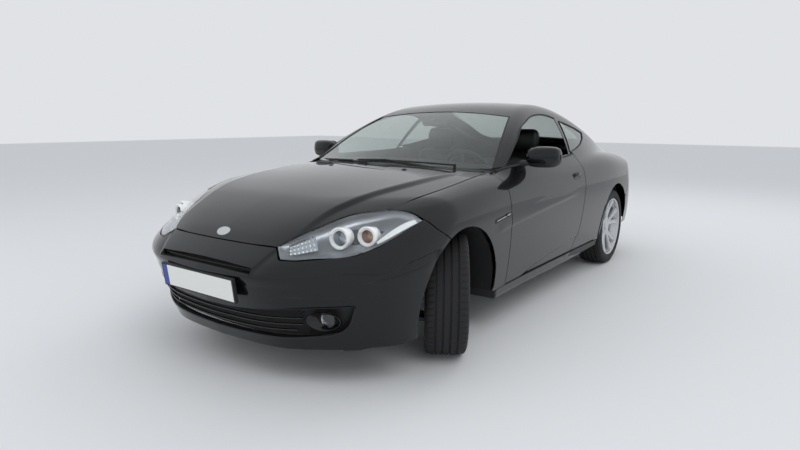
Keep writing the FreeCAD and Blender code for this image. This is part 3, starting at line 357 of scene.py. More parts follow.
def hatch_rays(q):
    """Rays in the plane y = q0 from a point in the boot, turned q1 radians from ahead over the top."""
    y, a = q[..., 0], q[..., 1]
    start = np.stack([np.zeros_like(y) - 1.3, y, np.zeros_like(y) + 0.55], -1)
    return start, np.stack([np.cos(a), np.zeros_like(a), np.sin(a)], -1)


TO_SHEET = {section_rays: lambda p: (p[..., 0], np.arctan2(p[..., 2] - SECTION_Z, p[..., 1])),
            cabin_rays: lambda p: (p[..., 0], np.arctan2(p[..., 2] - CABIN_Z, p[..., 1])),
            nose_rays: lambda p: (np.arctan2(p[..., 1], p[..., 0] - NOSE_FROM[0]),
                                  np.arctan2(p[..., 2] - NOSE_FROM[2],
                                             np.hypot(p[..., 0] - NOSE_FROM[0], p[..., 1]))),
            tail_rays: lambda p: (np.arctan2(p[..., 1], TAIL_FROM[0] - p[..., 0]),
                                  np.arctan2(p[..., 2] - TAIL_FROM[2],
                                             np.hypot(p[..., 0] - TAIL_FROM[0], p[..., 1]))),
            plan_rays: lambda p: (p[..., 0], p[..., 1]),
            hatch_rays: lambda p: (p[..., 1], np.arctan2(p[..., 2] - 0.55, p[..., 0] + 1.3)),}


def on_side(points, form=lower_form):
    """Points (x, z) of the side view, laid on the left flank."""
    x, z = np.asarray(points, float).T
    return cast(form, np.stack([x, 0 * x, z], -1), (0.0, 1.0, 0.0))


def on_top(points, form=lower_form):
    """Points (x, y) of the plan view, laid on the top."""
    x, y = np.asarray(points, float).T
    return cast(form, np.stack([x, y, 0 * x + 0.5], -1), (0.0, 0.0, 1.0))


def on_front(points, form=lower_form):
    """Points (y, z) of the front view, laid on the nose."""
    y, z = np.asarray(points, float).T
    return cast(form, np.stack([0 * y + 1.2, y, z], -1), (1.0, 0.0, 0.0))


def face(rays, sides, counts, margins=(0, 0, 0, 0), form=lower_form, set_in=0.0, relief=None):
    """A patch on the form between four lines of points in space. Relief raises it along the normal."""
    flat = [np.stack(TO_SHEET[rays](np.asarray(s)), -1) for s in sides]
    p = cast(form, *rays(sides_to_patch(*flat, counts, margins)), set_in)
    if relief is not None:
        p = p + outward(form, p) * relief(p)[..., None]
    return p


print("door edge on the flank:", on_side([(0.757, 0.6)]).round(3).tolist())

# %% [markdown]
# From grids to objects. Patches that share an edge are welded, which gives one smooth skin with clean
# normals. Solidify then gives the skin its thickness, and a narrow Bevel rounds the shut edges, because the
# bright line of a rounded edge is what makes a black panel readable.


# %% Grids to meshes
def grid_faces(rows, columns, offset, flipped):
    """The quads of a rows by columns grid of points numbered row by row."""
    i = np.arange(rows - 1)[:, None] * columns + np.arange(columns - 1)[None]
    quads = np.stack([i, i + columns, i + columns + 1, i + 1], -1).reshape(-1, 4) + offset
    return quads[:, ::-1] if flipped else quads


def mesh_piece(name, grids, finish, body="chassis", weld=0.0004, outward_from=None, smooth=True):
    """One object from point grids, welded where they meet. outward_from: a point that faces should look
    away from.
    """
    points, quads, count = [], [], 0
    for g in grids:
        g = np.asarray(g, float)
        quads.append(grid_faces(*g.shape[:2], count, False))
        points.append(g.reshape(-1, 3))
        count += g.shape[0] * g.shape[1]
    mesh = bpy.data.meshes.new(name)
    mesh.from_pydata(np.concatenate(points).tolist(), [], np.concatenate(quads).tolist())
    work = bmesh.new()
    work.from_mesh(mesh)
    bmesh.ops.remove_doubles(work, verts=work.verts, dist=weld)
    bmesh.ops.dissolve_degenerate(work, dist=1e-6, edges=work.edges)
    bmesh.ops.recalc_face_normals(work, faces=work.faces)
    if outward_from is not None:
        middle = Vector(outward_from)
        turned = sum((f.calc_center_median() - middle).dot(f.normal) * f.calc_area() for f in work.faces)
        if turned < 0:
            bmesh.ops.reverse_faces(work, faces=work.faces)
    work.to_mesh(mesh)
    work.free()
    mesh.polygons.foreach_set("use_smooth", np.full(len(mesh.polygons), smooth))
    mesh.set_sharp_from_angle(angle=math.radians(38))
    mesh.materials.append(finish)
    piece = bpy.data.objects.new(name, mesh)
    bpy.context.scene.collection.objects.link(piece)
    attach(piece, body)
    return piece


def thicken(piece, wall, edge=0.0015, angle=50):
    """Solidify inwards by wall, then round the sharp edges."""
    solid = piece.modifiers.new("wall", "SOLIDIFY")
    solid.thickness, solid.offset, solid.use_even_offset = wall, -1.0, False
    if edge:
        bevel = piece.modifiers.new("edge", "BEVEL")
        bevel.width, bevel.segments = edge, 2
        bevel.limit_method, bevel.angle_limit = "ANGLE", math.radians(angle)
        bevel.harden_normals = True
    return piece


def flip_y(p):
    return np.asarray(p) * np.array((1.0, -1.0, 1.0))


def panel(name, grids, wall, finish=ENAMEL, body="chassis", node=None, middle=(0, 0, 0.5)):
    """A skin made of grids, thickened inwards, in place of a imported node."""
    piece = thicken(mesh_piece(name, grids, finish, body, outward_from=middle), wall)
    if node:
        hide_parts(*([node] if isinstance(node, str) else node))
    return piece



def turned(profile, centre, outwards, count=96):
    """A lathe surface. Row i, column k lies at centre + s * outwards + r * (cos a * forwards + sin a * up).

    profile holds (s, r) rows in metres, a = 2 pi i / count. A profile that returns to its start closes the
    solid.
    """
    s, r = np.asarray(profile, float).T
    out = np.asarray(outwards, float) / np.linalg.norm(outwards)
    side = np.cross(out, (0.0, 0.0, 1.0))
    side = side / np.linalg.norm(side) if np.linalg.norm(side) > 1e-6 else np.array((1.0, 0.0, 0.0))
    up = np.cross(side, out)
    a = np.linspace(0, 2 * np.pi, count + 1)[:, None, None]
    spin = np.cos(a) * side + np.sin(a) * up
    return np.asarray(centre, float) + s[None, :, None] * out + r[None, :, None] * spin


def swept(path, section, up=(0, 0, 1), scale=None):
    """A closed section moved along a path, with capped ends. The section's (a, b) lie sideways and upwards.

    Row i is path[i] + scale[i] * (a * side + b * lift), where side stands square to the path and to up.
    """
    path, section = np.asarray(path, float), np.asarray(section, float)
    ahead = np.gradient(path, axis=0)
    ahead /= np.linalg.norm(ahead, axis=1, keepdims=True)
    side = np.cross(ahead, up)
    side /= np.linalg.norm(side, axis=1, keepdims=True)
    lift = np.cross(side, ahead)
    scale = np.ones(len(path)) if scale is None else np.asarray(scale, float)
    loop = np.concatenate([section, section[:1]])
    rows = path[:, None] + scale[:, None, None] * (loop[None, :, :1] * side[:, None] + loop[None, :, 1:]
                                                   * lift[:, None])
    caps = [np.broadcast_to(p, (1, len(loop), 3)) for p in (path[0], path[-1])]
    return np.concatenate([caps[0], rows, caps[1]])


def oval(width, height, count=16, power=2.0):
    """A superellipse outline: |2a / width| ** power + |2b / height| ** power = 1."""
    t = np.linspace(0, 2 * np.pi, count, endpoint=False)
    c, s = np.cos(t), np.sin(t)
    shape = [np.sign(c) * np.abs(c) ** (2 / power) * width / 2, np.sign(s) * np.abs(s) ** (2 / power)
             * height / 2]
    return np.stack(shape, -1)


print("patch and panel helpers ready")

# %% [markdown]
# The hood. On the real car it is one pressing with two raised ridges that run from the lamps to the
# windscreen corners. Its outer edge is the shut line. A soft step of 14 mm, 35 mm wide, lies outside each
# ridge.

# %% Hood
FRONT_AXLE_X, REAR_AXLE_X = 1.2825, -1.2475
ARCH_R, ARCH_Z = 0.362, 0.318
HOOD_EDGE = [(0.770, 0.700), (1.0, 0.710), (1.2, 0.714), (1.5, 0.698), (1.636, 0.659), (1.745, 0.559),
             (1.853, 0.499), (1.972, 0.431), (2.054, 0.371)]
HOOD_REAR = [(0.770, 0.700), (0.86, 0.53), (0.910, 0.36), (0.936, 0.18), (0.945, 0.0)]
HOOD_LIP_Z = 0.652
RIDGE_Y = curve([(2050, 400), (1900, 425), (1800, 442), (1700, 471), (1600, 496), (1500, 516), (1400, 535),
                 (1300, 548), (1200, 556), (950, 585), (750, 600)])


def ridge(p):
    """The hood's swell: rises with the cube of y up to the ridge line, then steps down smoothly over 35 mm.
    """
    x, y = p[..., 0], np.abs(p[..., 1])
    high = np.interp(x, (0.80, 1.0, 1.3, 1.75, 1.95, 2.02), (0, 0.008, 0.014, 0.014, 0.004, 0))
    t = np.clip((y - RIDGE_Y(x)) / 0.035, 0, 1)
    return high * np.where(t > 0, 1 - t * t * (3 - 2 * t), (y / np.maximum(RIDGE_Y(x), 0.1)) ** 3)


hood_side = on_top(HOOD_EDGE)
hood_rear = on_top(HOOD_REAR)
hood_lip = on_front([(y, HOOD_LIP_Z) for y in (0.371, 0.25, 0.12, 0.0)])
hood_low = np.concatenate([flip_y(hood_rear), hood_rear[::-1][1:]])
hood_high = np.concatenate([flip_y(hood_lip), hood_lip[::-1][1:]])
hood_grid = face(plan_rays, (hood_low, hood_high, flip_y(hood_side), hood_side), (121, 95),
                 (0.001, 0.001, 0.002, 0), relief=ridge)
panel("hood_skin", [hood_grid], 0.012, body="hood", node="hood")
print("hood:", hood_grid.shape[0] * hood_grid.shape[1], "points")

# %% [markdown]
# Creases. A stylist lays a few lines over the form: one along the door, one on the fender's shoulder, a
# wedge above the sill, a hollow behind the bumper's corner and a break across the nose. Each is a small
# height added along the surface normal, as a function of where the point lies, so panels that meet at a
# shut line keep the same line.


# %% Creases and hollows
def smooth_step(t):
    """0 below t = 0, 1 above t = 1, and 3 t^2 - 2 t^3 between."""
    t = np.clip(t, 0, 1)
    return t * t * (3 - 2 * t)


def flank_relief(p):
    """Heights on the flank in metres: door crease, shoulder line and the wedge over the sill."""
    x, z = p[..., 0], p[..., 2]
    over = z - np.interp(x, (-0.5, 0.033, 0.769, 1.0), (0.700, 0.666, 0.617, 0.600))
    ridge_here = np.where(over > 0, 1 - over / 0.070, 1 + over / 0.014)
    strength = 0.0045 * smooth_step((x + 0.45) / 0.4) * smooth_step((0.965 - x) / 0.12)
    crease = strength * np.clip(ridge_here, 0, 1)
    off = np.abs(z - np.interp(x, (0.75, 1.0, 1.2, 1.4, 1.60), (0.846, 0.836, 0.823, 0.806, 0.785)))
    shoulder_line = 0.003 * np.clip(1 - off / 0.032, 0, 1) * smooth_step((x - 0.70) / 0.2)
    under = np.interp(x, (-0.833, -0.378, 0.348, 0.60), (0.271, 0.378, 0.309, 0.262)) - z
    return crease + shoulder_line - 0.008 * smooth_step(under / 0.018)


def nose_relief(p):
    """Heights on the bumper cover: the break across the nose, the sunk field round the intake and the side
    hollow.
    """
    x, y, z = p[..., 0], np.abs(p[..., 1]), p[..., 2]
    off = np.abs(z - np.interp(y, (0, 0.218, 0.365, 0.491, 0.577, 0.687, 0.80),
                               (0.535, 0.535, 0.530, 0.532, 0.540, 0.566, 0.60)))
    face_break = 0.006 * np.clip(1 - off / 0.040, 0, 1) * smooth_step((0.80 - y) / 0.12)
    in_field = smooth_step((0.456 - z) / 0.010) * smooth_step((0.720 - 0.35 * (0.456 - z) - y) / 0.010)
    field = 0.005 * in_field * smooth_step((y - 0.40) / 0.15)
    below = np.interp(x, (1.50, 1.537, 1.718, 1.865, 1.95), (0.626, 0.618, 0.586, 0.530, 0.500)) - z
    hollow = 0.015 * smooth_step((x - 1.505) / 0.05) * smooth_step((1.95 - x) / 0.12)
    hollow = hollow * smooth_step(y / 0.2 - 3.1)
    hollow = hollow * smooth_step(below / 0.011) * np.exp(-np.maximum(below, 0) / 0.045)
    beside = y - np.interp(z, (0.53, 0.569, 0.646), (0.320, 0.330, 0.373))
    facet = 0.007 * smooth_step(beside / 0.014) * np.exp(-np.maximum(beside, 0) / 0.06)
    facet = facet * smooth_step((z - 0.530) / 0.03)
    return face_break - field - hollow - facet


print("deepest hollow on the nose:", float(nose_relief(np.array([[1.72, 0.84, 0.57]]))[0]))

# %% [markdown]
# Fenders, doors and bumper cover share the flank. Each is one or more patches in sheets of rays: round the
# long axis for the flank, round a point in the nose for the bumper cover, which turns the corner.


# %% Fenders
def arch_line(x_axle, low_z, high_z, side, count=24):
    """Points of a wheel arch on the flank between two heights, ahead of (side 1) or behind (side -1) the
    axle.
    """
    z = np.linspace(low_z, high_z, count)
    x = x_axle + side * np.sqrt(np.maximum(ARCH_R ** 2 - (z - ARCH_Z) ** 2, 0))
    return on_side(np.stack([x, z], 1))


def arch_over(x_axle, x0, x1, count=40):
    """Points of the arch above the wheel from x0 to x1."""
    angle = np.linspace(math.acos((x0 - x_axle) / ARCH_R), math.acos((x1 - x_axle) / ARCH_R), count)
    return on_side(np.stack([x_axle + ARCH_R * np.cos(angle), ARCH_Z + ARCH_R * np.sin(angle)], 1))


SILL_Z = 0.262
fender_low = np.concatenate([on_side([(x, SILL_Z) for x in np.linspace(0.763, 0.92, 6)]),
                             arch_line(FRONT_AXLE_X, 0.265, ARCH_Z, -1, 5)[:-1],
                             arch_over(FRONT_AXLE_X, FRONT_AXLE_X - ARCH_R, 1.434)])
fender_rear = np.concatenate([on_side([(0.763, z) for z in np.linspace(SILL_Z, 0.84, 16)]),
                              on_top([(0.763, y) for y in (0.78, 0.76, 0.74, 0.72, 0.706)])])
fender_front = np.concatenate([
    on_side([(1.434, 0.647), (1.476, 0.676), (1.518, 0.706), (1.537, 0.728), (1.556, 0.75)]),
    on_top([(1.572, 0.767), (1.583, 0.742), (1.600, 0.714), (1.618, 0.688), (1.642, 0.664)])])
fender_high = on_top([(0.763, 0.706), (1.0, 0.716), (1.2, 0.720), (1.5, 0.704), (1.642, 0.664)])
fender = face(section_rays, (fender_low, fender_high, fender_rear, fender_front), (81, 71),
              relief=flank_relief)
for side, grid in (("left", fender), ("right", flip_y(fender))):
    panel("fender_skin_" + side, [grid], 0.003, node="fender_" + side)
print("fender:", fender.shape)

# %% Front bumper cover
LAMP_LOW = [(0.371, 0.646), (0.423, 0.605), (0.505, 0.604), (0.566, 0.610), (0.690, 0.621), (0.744, 0.651),
            (0.775, 0.69), (0.809, 0.741)]
INTAKE_TOP = [(0, 0.364), (0.154, 0.367), (0.300, 0.380), (0.446, 0.396), (0.583, 0.405), (0.703, 0.410)]
INTAKE_LOW = [(0, 0.241), (0.154, 0.242), (0.317, 0.246), (0.444, 0.250), (0.540, 0.262), (0.637, 0.286)]
INTAKE_END = [(0.637, 0.286), (0.669, 0.320), (0.687, 0.366), (0.703, 0.410)]
SLOT_TOP = [(0, 0.579), (0.16, 0.576), (0.327, 0.569)]
SLOT_LOW = [(0, 0.549), (0.16, 0.547), (0.327, 0.541)]
CHIN_Z = 0.190


def front_line(*points):
    """A dense straight-sided line on the nose through points (y, z) of the front view."""
    return on_front(along(points, np.linspace(0, 1, 24), straight=True))


lamp_low = on_front(along(LAMP_LOW, np.linspace(0, 1, 60), straight=True))
joint_high = on_side([(1.440, 0.644), (1.482, 0.673), (1.524, 0.703), (1.543, 0.725), (1.560, 0.748)])
arch_high = arch_over(FRONT_AXLE_X, 1.6215, 1.440)
flank_split = np.concatenate([on_front([(0.703, 0.410)]),
                              on_side([(1.80, 0.42), (1.70, 0.432), (1.6215, 0.445)])])
flank_split = cast(lower_form, *nose_rays(along(np.stack(TO_SHEET[nose_rays](flank_split), -1),
                                                np.linspace(0, 1, 24))))
beak = (front_line(*SLOT_TOP), front_line((0, 0.646), (0.371, 0.646)), front_line((0, 0.579), (0, 0.646)),
        front_line((0.327, 0.569), (0.371, 0.646)))
middle_band = (front_line(*INTAKE_TOP[:4]), front_line(*SLOT_LOW), front_line((0, 0.364), (0, 0.549)),
               front_line((0.446, 0.396), (0.327, 0.541)))
corner = (np.concatenate([front_line(*INTAKE_TOP[3:]), flank_split[1:]]), lamp_low,
          front_line((0.446, 0.396), (0.327, 0.541), (0.327, 0.569), (0.371, 0.646)),
          np.concatenate([arch_high, joint_high[1:]]))
chin_end = front_line((0.62, CHIN_Z), *INTAKE_END)
chin_flank = np.concatenate([on_front([(0.62, CHIN_Z), (0.68, CHIN_Z)]),
                             on_side([(1.85, 0.195), (1.75, 0.2), (1.622, 0.205)])])
chin_corner = (chin_flank, flank_split, chin_end, arch_line(FRONT_AXLE_X, 0.205, 0.445, 1))
chin = (front_line((0, CHIN_Z), (0.62, CHIN_Z)), front_line(*INTAKE_LOW),
        front_line((0, CHIN_Z), (0, 0.241)), front_line((0.62, CHIN_Z), (0.637, 0.286)))
counts = ((41, 21), (41, 41), (91, 71), (51, 41), (41, 9))
patches = zip((beak, middle_band, corner, chin_corner, chin), counts)
half = [face(nose_rays, sides, n, relief=nose_relief) for sides, n in patches]
panel("bumper_cover", half + [flip_y(g) for g in half], 0.004, node="front_bumper")
print("bumper cover patches:", [g.shape[:2] for g in half])

# %% Doors
DOOR_INNER_Y = 0.738
DOOR_REAR = [(-0.33, 0.268), (-0.386, 0.369), (-0.424, 0.485), (-0.451, 0.606), (-0.480, 0.721),
             (-0.489, 0.80)]
DOOR_CORNER = [(-0.490, 0.84), (-0.485, 0.885), (-0.472, 0.928), (-0.448, 0.958)]
BELT_LINE = [(0.757, 0.893), (0.69, 0.906), (0.621, 0.919), (0.35, 0.936), (0.0, 0.941), (-0.358, 0.951),
             (-0.448, 0.958)]
door_low = on_side([(x, 0.268) for x in np.linspace(0.757, -0.33, 20)])
door_rear = on_side(along(DOOR_REAR + DOOR_CORNER, np.linspace(0, 1, 50)), whole_form)
door_front = on_side([(0.757, z) for z in np.linspace(0.268, 0.893, 24)])
door_high = on_side(BELT_LINE, whole_form)
door = face(section_rays, (door_low, door_high, door_front, door_rear), (91, 91), form=whole_form,
            relief=flank_relief)


def border(grid):
    """The grid's border as one closed line of points."""
    return np.concatenate([grid[:, 0], grid[-1, 1:], grid[-2::-1, -1], grid[0, -2::-1]])


edge = border(door)
inner_edge = edge * np.array((1, 0, 1)) + np.array((0, DOOR_INNER_Y, 0))
hem = np.stack([edge + (inner_edge - edge) * t for t in (0, 0.03, 0.5, 1.0)], axis=1)
inner = door * np.array((1, 0, 1)) + np.array((0, DOOR_INNER_Y, 0))
inner[:, -1] = (door * np.array((1, 0, 1)))[:, -1] + np.array((0, DOOR_INNER_Y, 0))
for side, turn in (("left", lambda g: g), ("right", flip_y)):
    panel("door_skin_" + side, [turn(door)], 0.003, body="door_" + side, node="door_" + side)
    frame_piece = mesh_piece("door_hem_" + side, [turn(hem[:, 1:])], ENAMEL, "door_" + side,
                             outward_from=(0.15, turn(np.array((0, 0.8, 0)))[1], 0.6))
    trim_piece = mesh_piece("door_trim_" + side, [turn(inner[::2, ::2])], TRIM, "door_" + side,
                            outward_from=(0.15, turn(np.array((0, 0.8, 0)))[1], 0.6))
print("door:", door.shape, "hem:", hem.shape)

# %% [markdown]
# Quarters, pillars and roof are welded into one shell on the real car, with no shut line between them, so
# they are one piece here. Round the long axis a ray from inside the cabin meets body, fillet, pillar or
# roof just once.

# %% Roof, pillars and quarters
WINDSCREEN_SIDE = [(0.675, 0.694), (0.54, 0.653), (0.40, 0.6115), (0.27, 0.571), (0.131, 0.529)]
DOOR_WINDOW_TOP = [(0.621, 0.921), (0.514, 0.986), (0.416, 1.042), (0.31, 1.096), (0.214, 1.144),
                   (0.10, 1.181), (-0.005, 1.210), (-0.172, 1.232), (-0.331, 1.230), (-0.464, 1.209)]
QUARTER_TOP = [(-0.519, 1.190), (-0.594, 1.178), (-0.668, 1.164), (-0.819, 1.132), (-0.940, 1.097)]
QUARTER_LOW = [(-0.400, 0.972), (-0.561, 0.988), (-0.735, 1.018), (-0.870, 1.056), (-0.940, 1.097)]
SHOULDER = [(-0.40, 0.755), (-0.60, 0.753), (-0.80, 0.742), (-0.94, 0.727), (-1.15, 0.685), (-1.30, 0.625),
            (-1.45, 0.547)]
upper = dict(form=whole_form)
rail_outer = np.concatenate([on_side(along(DOOR_WINDOW_TOP, np.linspace(0, 1, 40)), cabin_form),
                             on_side(QUARTER_TOP[:2], cabin_form)])
rail_inner = on_top(np.concatenate([along(WINDSCREEN_SIDE, np.linspace(0, 1, 24)),
                                    along([(0.131, 0.529), (-0.2, 0.525), (-0.588, 0.511)],
                                          np.linspace(0, 1, 24))[1:]]), cabin_form)
rail_foot = on_top([(0.621, 0.741), (0.64, 0.725), (0.675, 0.694)], cabin_form)
rail_foot[0] = rail_outer[0]
rail_end = on_side([(-0.594, 1.178)], cabin_form)
rail_end = np.concatenate([rail_end, on_top([(-0.592, 0.58), (-0.590, 0.545), (-0.588, 0.511)],
                                            cabin_form)])
rail = face(cabin_rays, (rail_outer, rail_inner, rail_foot, rail_end), (121, 15), form=cabin_form)
header = on_top([(0.131, 0.529), (0.122, 0.40), (0.112, 0.25), (0.107, 0.12), (0.105, 0.0)], cabin_form)
header = np.concatenate([flip_y(header), header[::-1][1:]])
hatch_line = on_top([(-0.588, y) for y in np.linspace(-0.511, 0.511, 17)], cabin_form)
roof_side = on_top([(0.131, 0.529), (-0.2, 0.525), (-0.588, 0.511)], cabin_form)
roof = face(plan_rays, (header, hatch_line, flip_y(roof_side), roof_side), (61, 45), form=cabin_form)
post = face(cabin_rays, (on_side([(-0.353, 0.955), (-0.396, 0.962)], cabin_form),
                         on_side([(-0.464, 1.209), (-0.519, 1.190)], cabin_form),
                         on_side([(-0.353, 0.955), (-0.41, 1.085), (-0.464, 1.209)], cabin_form),
                         on_side([(-0.396, 0.962), (-0.46, 1.08), (-0.519, 1.190)], cabin_form)), (7, 31),
            form=cabin_form)
shoulder_at = along(SHOULDER, np.linspace(0, 1, 61))
shoulder = on_top(shoulder_at, whole_form)
BREAK = int(np.argmin(np.abs(shoulder_at[:, 0] + 0.94)))
pillar_high = (on_side(QUARTER_TOP[1:], cabin_form),
               on_top([(-0.588, 0.511), (-0.76, 0.521), (-0.94, 0.530)], whole_form), rail_end,
               np.concatenate([on_side([(-0.940, 1.097)], cabin_form),
                               on_top([(-0.94, 0.60), (-0.94, 0.565), (-0.94, 0.530)], whole_form)]))
pillar_rear = (shoulder[BREAK:], on_top([(-0.94, 0.530), (-1.15, 0.538), (-1.45, 0.547)], whole_form),
               np.concatenate([shoulder[BREAK:BREAK + 1],
                               on_side([(-0.94, 1.02), (-0.94, 1.06), (-0.94, 1.097)], whole_form),
                               on_top([(-0.94, 0.60), (-0.94, 0.530)], whole_form)]),
               on_top([(-1.45, 0.547), (-1.4502, 0.5465)], whole_form))
pillar_low = (shoulder[:BREAK + 1], on_side(QUARTER_LOW, whole_form),
              np.concatenate([shoulder[:1], on_side([(-0.400, 0.972)], whole_form)]),
              np.concatenate([shoulder[BREAK:BREAK + 1],
                              on_side([(-0.94, 1.02), (-0.94, 1.06), (-0.94, 1.097)], whole_form)]))
quarter_low = np.concatenate([on_side([(x, SILL_Z) for x in np.linspace(-0.336, -0.886, 12)]),
                              arch_line(REAR_AXLE_X, 0.265, ARCH_Z, 1, 5)[:-1],
                              arch_over(REAR_AXLE_X, REAR_AXLE_X + ARCH_R, -1.540),
                              on_side([(-1.54, 0.56), (-1.575, 0.605), (-1.61, 0.65), (-1.64, 0.693),
                                       (-1.75, 0.693), (-1.85, 0.693)])])
door_cut = [(x - 0.006, z) for x, z in DOOR_REAR + DOOR_CORNER[:3]] + [(-0.456, 0.963)]
door_cut = np.concatenate([on_side(along(door_cut, np.linspace(0, 1, 50)), whole_form), shoulder[:1]])
quarter_end = np.concatenate([on_side([(-1.85, z) for z in np.linspace(0.693, 0.84, 8)]),
                              on_top([(-1.85, y) for y in np.linspace(0.74, 0.568, 8)], whole_form)])
quarter_high = np.concatenate([shoulder, on_top([(-1.6, 0.551), (-1.72, 0.558), (-1.85, 0.568)],
                                                whole_form)])
quarter = face(cabin_rays, (quarter_low, quarter_high, door_cut, quarter_end), (101, 61),
               relief=flank_relief, **upper)


def on_rear(points, form=whole_form):
    """Points (y, z) of the rear view, laid on the tail."""
    y, z = np.asarray(points, float).T
    return cast(form, np.stack([0 * y - 1.3, y, z], -1), (-1.0, 0.0, 0.0))


def tail_line(z, y_end, flank_x):
    """A level line on the form at height z from the flank at flank_x round the corner to y_end on the tail.
    """
    start, stop = on_side([(flank_x, z)]), on_rear([(y_end, z)])
    a0, a1 = (float(np.arctan2(p[0, 1], TAIL_FROM[0] - p[0, 0])) for p in (start, stop))
    angle = np.linspace(a0, a1, 30)
    way = np.stack([-np.cos(angle), np.sin(angle), 0 * angle], -1)
    return cast(whole_form, np.array((TAIL_FROM[0], 0, z)), way)


corner_low = tail_line(0.693, 0.606, -1.85)
corner_last = on_rear([(0.606, z) for z in np.linspace(0.693, 0.86, 10)])
corner_high = np.concatenate([on_top([(-1.85, 0.568), (-1.92, 0.573), (-1.98, 0.578)], whole_form),
                              on_rear([(0.600, 0.90), (0.606, 0.86)])])
tail_corner = face(tail_rays, (corner_low, corner_high, quarter_end, corner_last), (41, 41), **upper)
upper_half = [rail, post, face(cabin_rays, pillar_high, (41, 21), **upper),
              face(cabin_rays, pillar_rear, (41, 31), **upper), face(cabin_rays, pillar_low, (41, 15),
                                                                     **upper), quarter, tail_corner]
panel("body_shell", [roof] + upper_half + [flip_y(g) for g in upper_half], 0.004,
      node=("roof_frame", "quarter_left", "quarter_right"))
print("body shell patches:", len(upper_half) * 2 + 1)

# %% [markdown]
# The hatch. It carries the backlight, so its skin is a frame of strips round the glass, and then one large
# patch over the deck and down the tail face. Rays here turn about a line across the car, from ahead over
# the top.


# %% Tailgate and backlight
def cut_corners(points, times=3):
    """Rounds a closed outline by cutting each corner at a quarter and three quarters of its sides, times
    over.
    """
    p = np.asarray(points, float)
    for _ in range(times):
        after = np.roll(p, -1, axis=0)
        p = np.stack([0.75 * p + 0.25 * after, 0.25 * p + 0.75 * after], 1).reshape(-1, p.shape[1])
    return p


front_in = [(-0.657, -0.34), (-0.660, 0.0), (-0.657, 0.34), (-0.668, 0.405)]
front_in = [(-0.668, -0.405)] + front_in
side_in = [(-0.668, 0.405), (-0.76, 0.437), (-1.15, 0.458), (-1.40, 0.456), (-1.484, 0.425)]
rear_in = [(-1.484, 0.425), (-1.497, 0.34), (-1.500, 0.0), (-1.497, -0.34), (-1.484, -0.425)]
HATCH_EDGE = [(-0.600, 0.505), (-0.85, 0.520), (-1.15, 0.532), (-1.50, 0.543)]
hatch_bottom = [(y, 0.700) for y in np.linspace(-0.600, 0.600, 25)]


def dense_top(points, count=40, form=whole_form):
    return on_top(along(points, np.linspace(0, 1, count)), form)


edge_front = on_top([(-0.600, y) for y in np.linspace(-0.505, 0.505, 21)], whole_form)
tie_front = [dense_top([(-0.600, s * 0.505), (-0.668, s * 0.405)], 8) for s in (-1, 1)]
tie_rear = [dense_top([(-1.484, s * 0.425), (-1.500, s * 0.543)], 8) for s in (1, -1)]
hatch_flank = np.concatenate([on_top([(-1.500, 0.543), (-1.6, 0.545), (-1.85, 0.562), (-1.98, 0.572)],
                                     whole_form), on_rear([(0.594, 0.90), (0.600, 0.86), (0.600, 0.80),
                                                           (0.600, 0.75), (0.600, 0.70)])])
strips = [face(hatch_rays, (edge_front, dense_top(front_in), tie_front[0], tie_front[1]), (61, 9),
               **upper), face(hatch_rays, (dense_top(side_in), dense_top(HATCH_EDGE), tie_front[1][::-1],
                                           tie_rear[0]), (61, 9), **upper),
          face(hatch_rays, (dense_top([(x, -y) for x, y in side_in]),
                            dense_top([(x, -y) for x, y in HATCH_EDGE]), flip_y(tie_front[1][::-1]),
                            flip_y(tie_rear[0])), (61, 9), **upper),
          face(hatch_rays, (np.concatenate([tie_rear[0][::-1], dense_top(rear_in, 40)[1:],
                                            tie_rear[1][1:]]), on_rear(hatch_bottom[::-1]), hatch_flank,
                            flip_y(hatch_flank)), (81, 61), **upper),]
panel("tailgate_skin", strips, 0.012, body="tailgate", node="tailgate")
GLASS_IN = 0.003
backlight = face(hatch_rays, (dense_top(rear_in[::-1]), dense_top(front_in),
                              flip_y(dense_top(side_in[::-1])), dense_top(side_in[::-1])), (45, 45),
                 form=whole_form, set_in=GLASS_IN)
panel("backlight_pane", [backlight], 0.004, WINDOW, "tailgate", "backlight")
print("hatch strips:", [s.shape[:2] for s in strips])

# %% [markdown]
# Window glass is float glass, bent to the cabin form and set 3 mm in from the skin. It is a real pane 4 mm
# thick, because a ray needs to enter one face and leave the other to come out straight.

# %% Windscreen and side windows
screen_low = on_top([(0.675, 0.694), (0.79, 0.50), (0.850, 0.330), (0.893, 0.15), (0.905, 0.0)], cabin_form)
screen_low = np.concatenate([flip_y(screen_low), screen_low[::-1][1:]])
screen_side = on_top(along(WINDSCREEN_SIDE, np.linspace(0, 1, 24)), cabin_form)
screen_sides = (screen_low, header, flip_y(screen_side), screen_side)
panel("windscreen_pane", [face(plan_rays, screen_sides, (61, 45), form=cabin_form, set_in=GLASS_IN)],
      0.004, WINDOW, node="windscreen")
window_top = on_side(along(DOOR_WINDOW_TOP, np.linspace(0, 1, 40)), cabin_form)
window_low = on_side([(0.600, 0.922), (0.35, 0.934), (0.0, 0.939), (-0.36, 0.948)], cabin_form)
window_rear = on_side([(-0.353, 0.955), (-0.41, 1.085), (-0.458, 1.203)], cabin_form)
pane = face(cabin_rays, (window_low, window_top, on_side([(0.600, 0.930), (0.612, 0.926), (0.621, 0.921)],
                                                         cabin_form), window_rear), (61, 25),
            (0.005, 0.005, 0.0, 0.01), form=cabin_form, set_in=GLASS_IN)
panel("door_pane_right", [flip_y(pane)], 0.004, WINDOW, "door_right", "door_glass_right")
quarter_pane = face(cabin_rays, (on_side(QUARTER_LOW, cabin_form), on_side(QUARTER_TOP, cabin_form),
                                 on_side([(-0.400, 0.972), (-0.46, 1.08), (-0.519, 1.190)], cabin_form),
                                 on_side([(-0.940, 1.097), (-0.9401, 1.0971)], cabin_form)), (41, 21),
                    form=cabin_form, set_in=GLASS_IN)
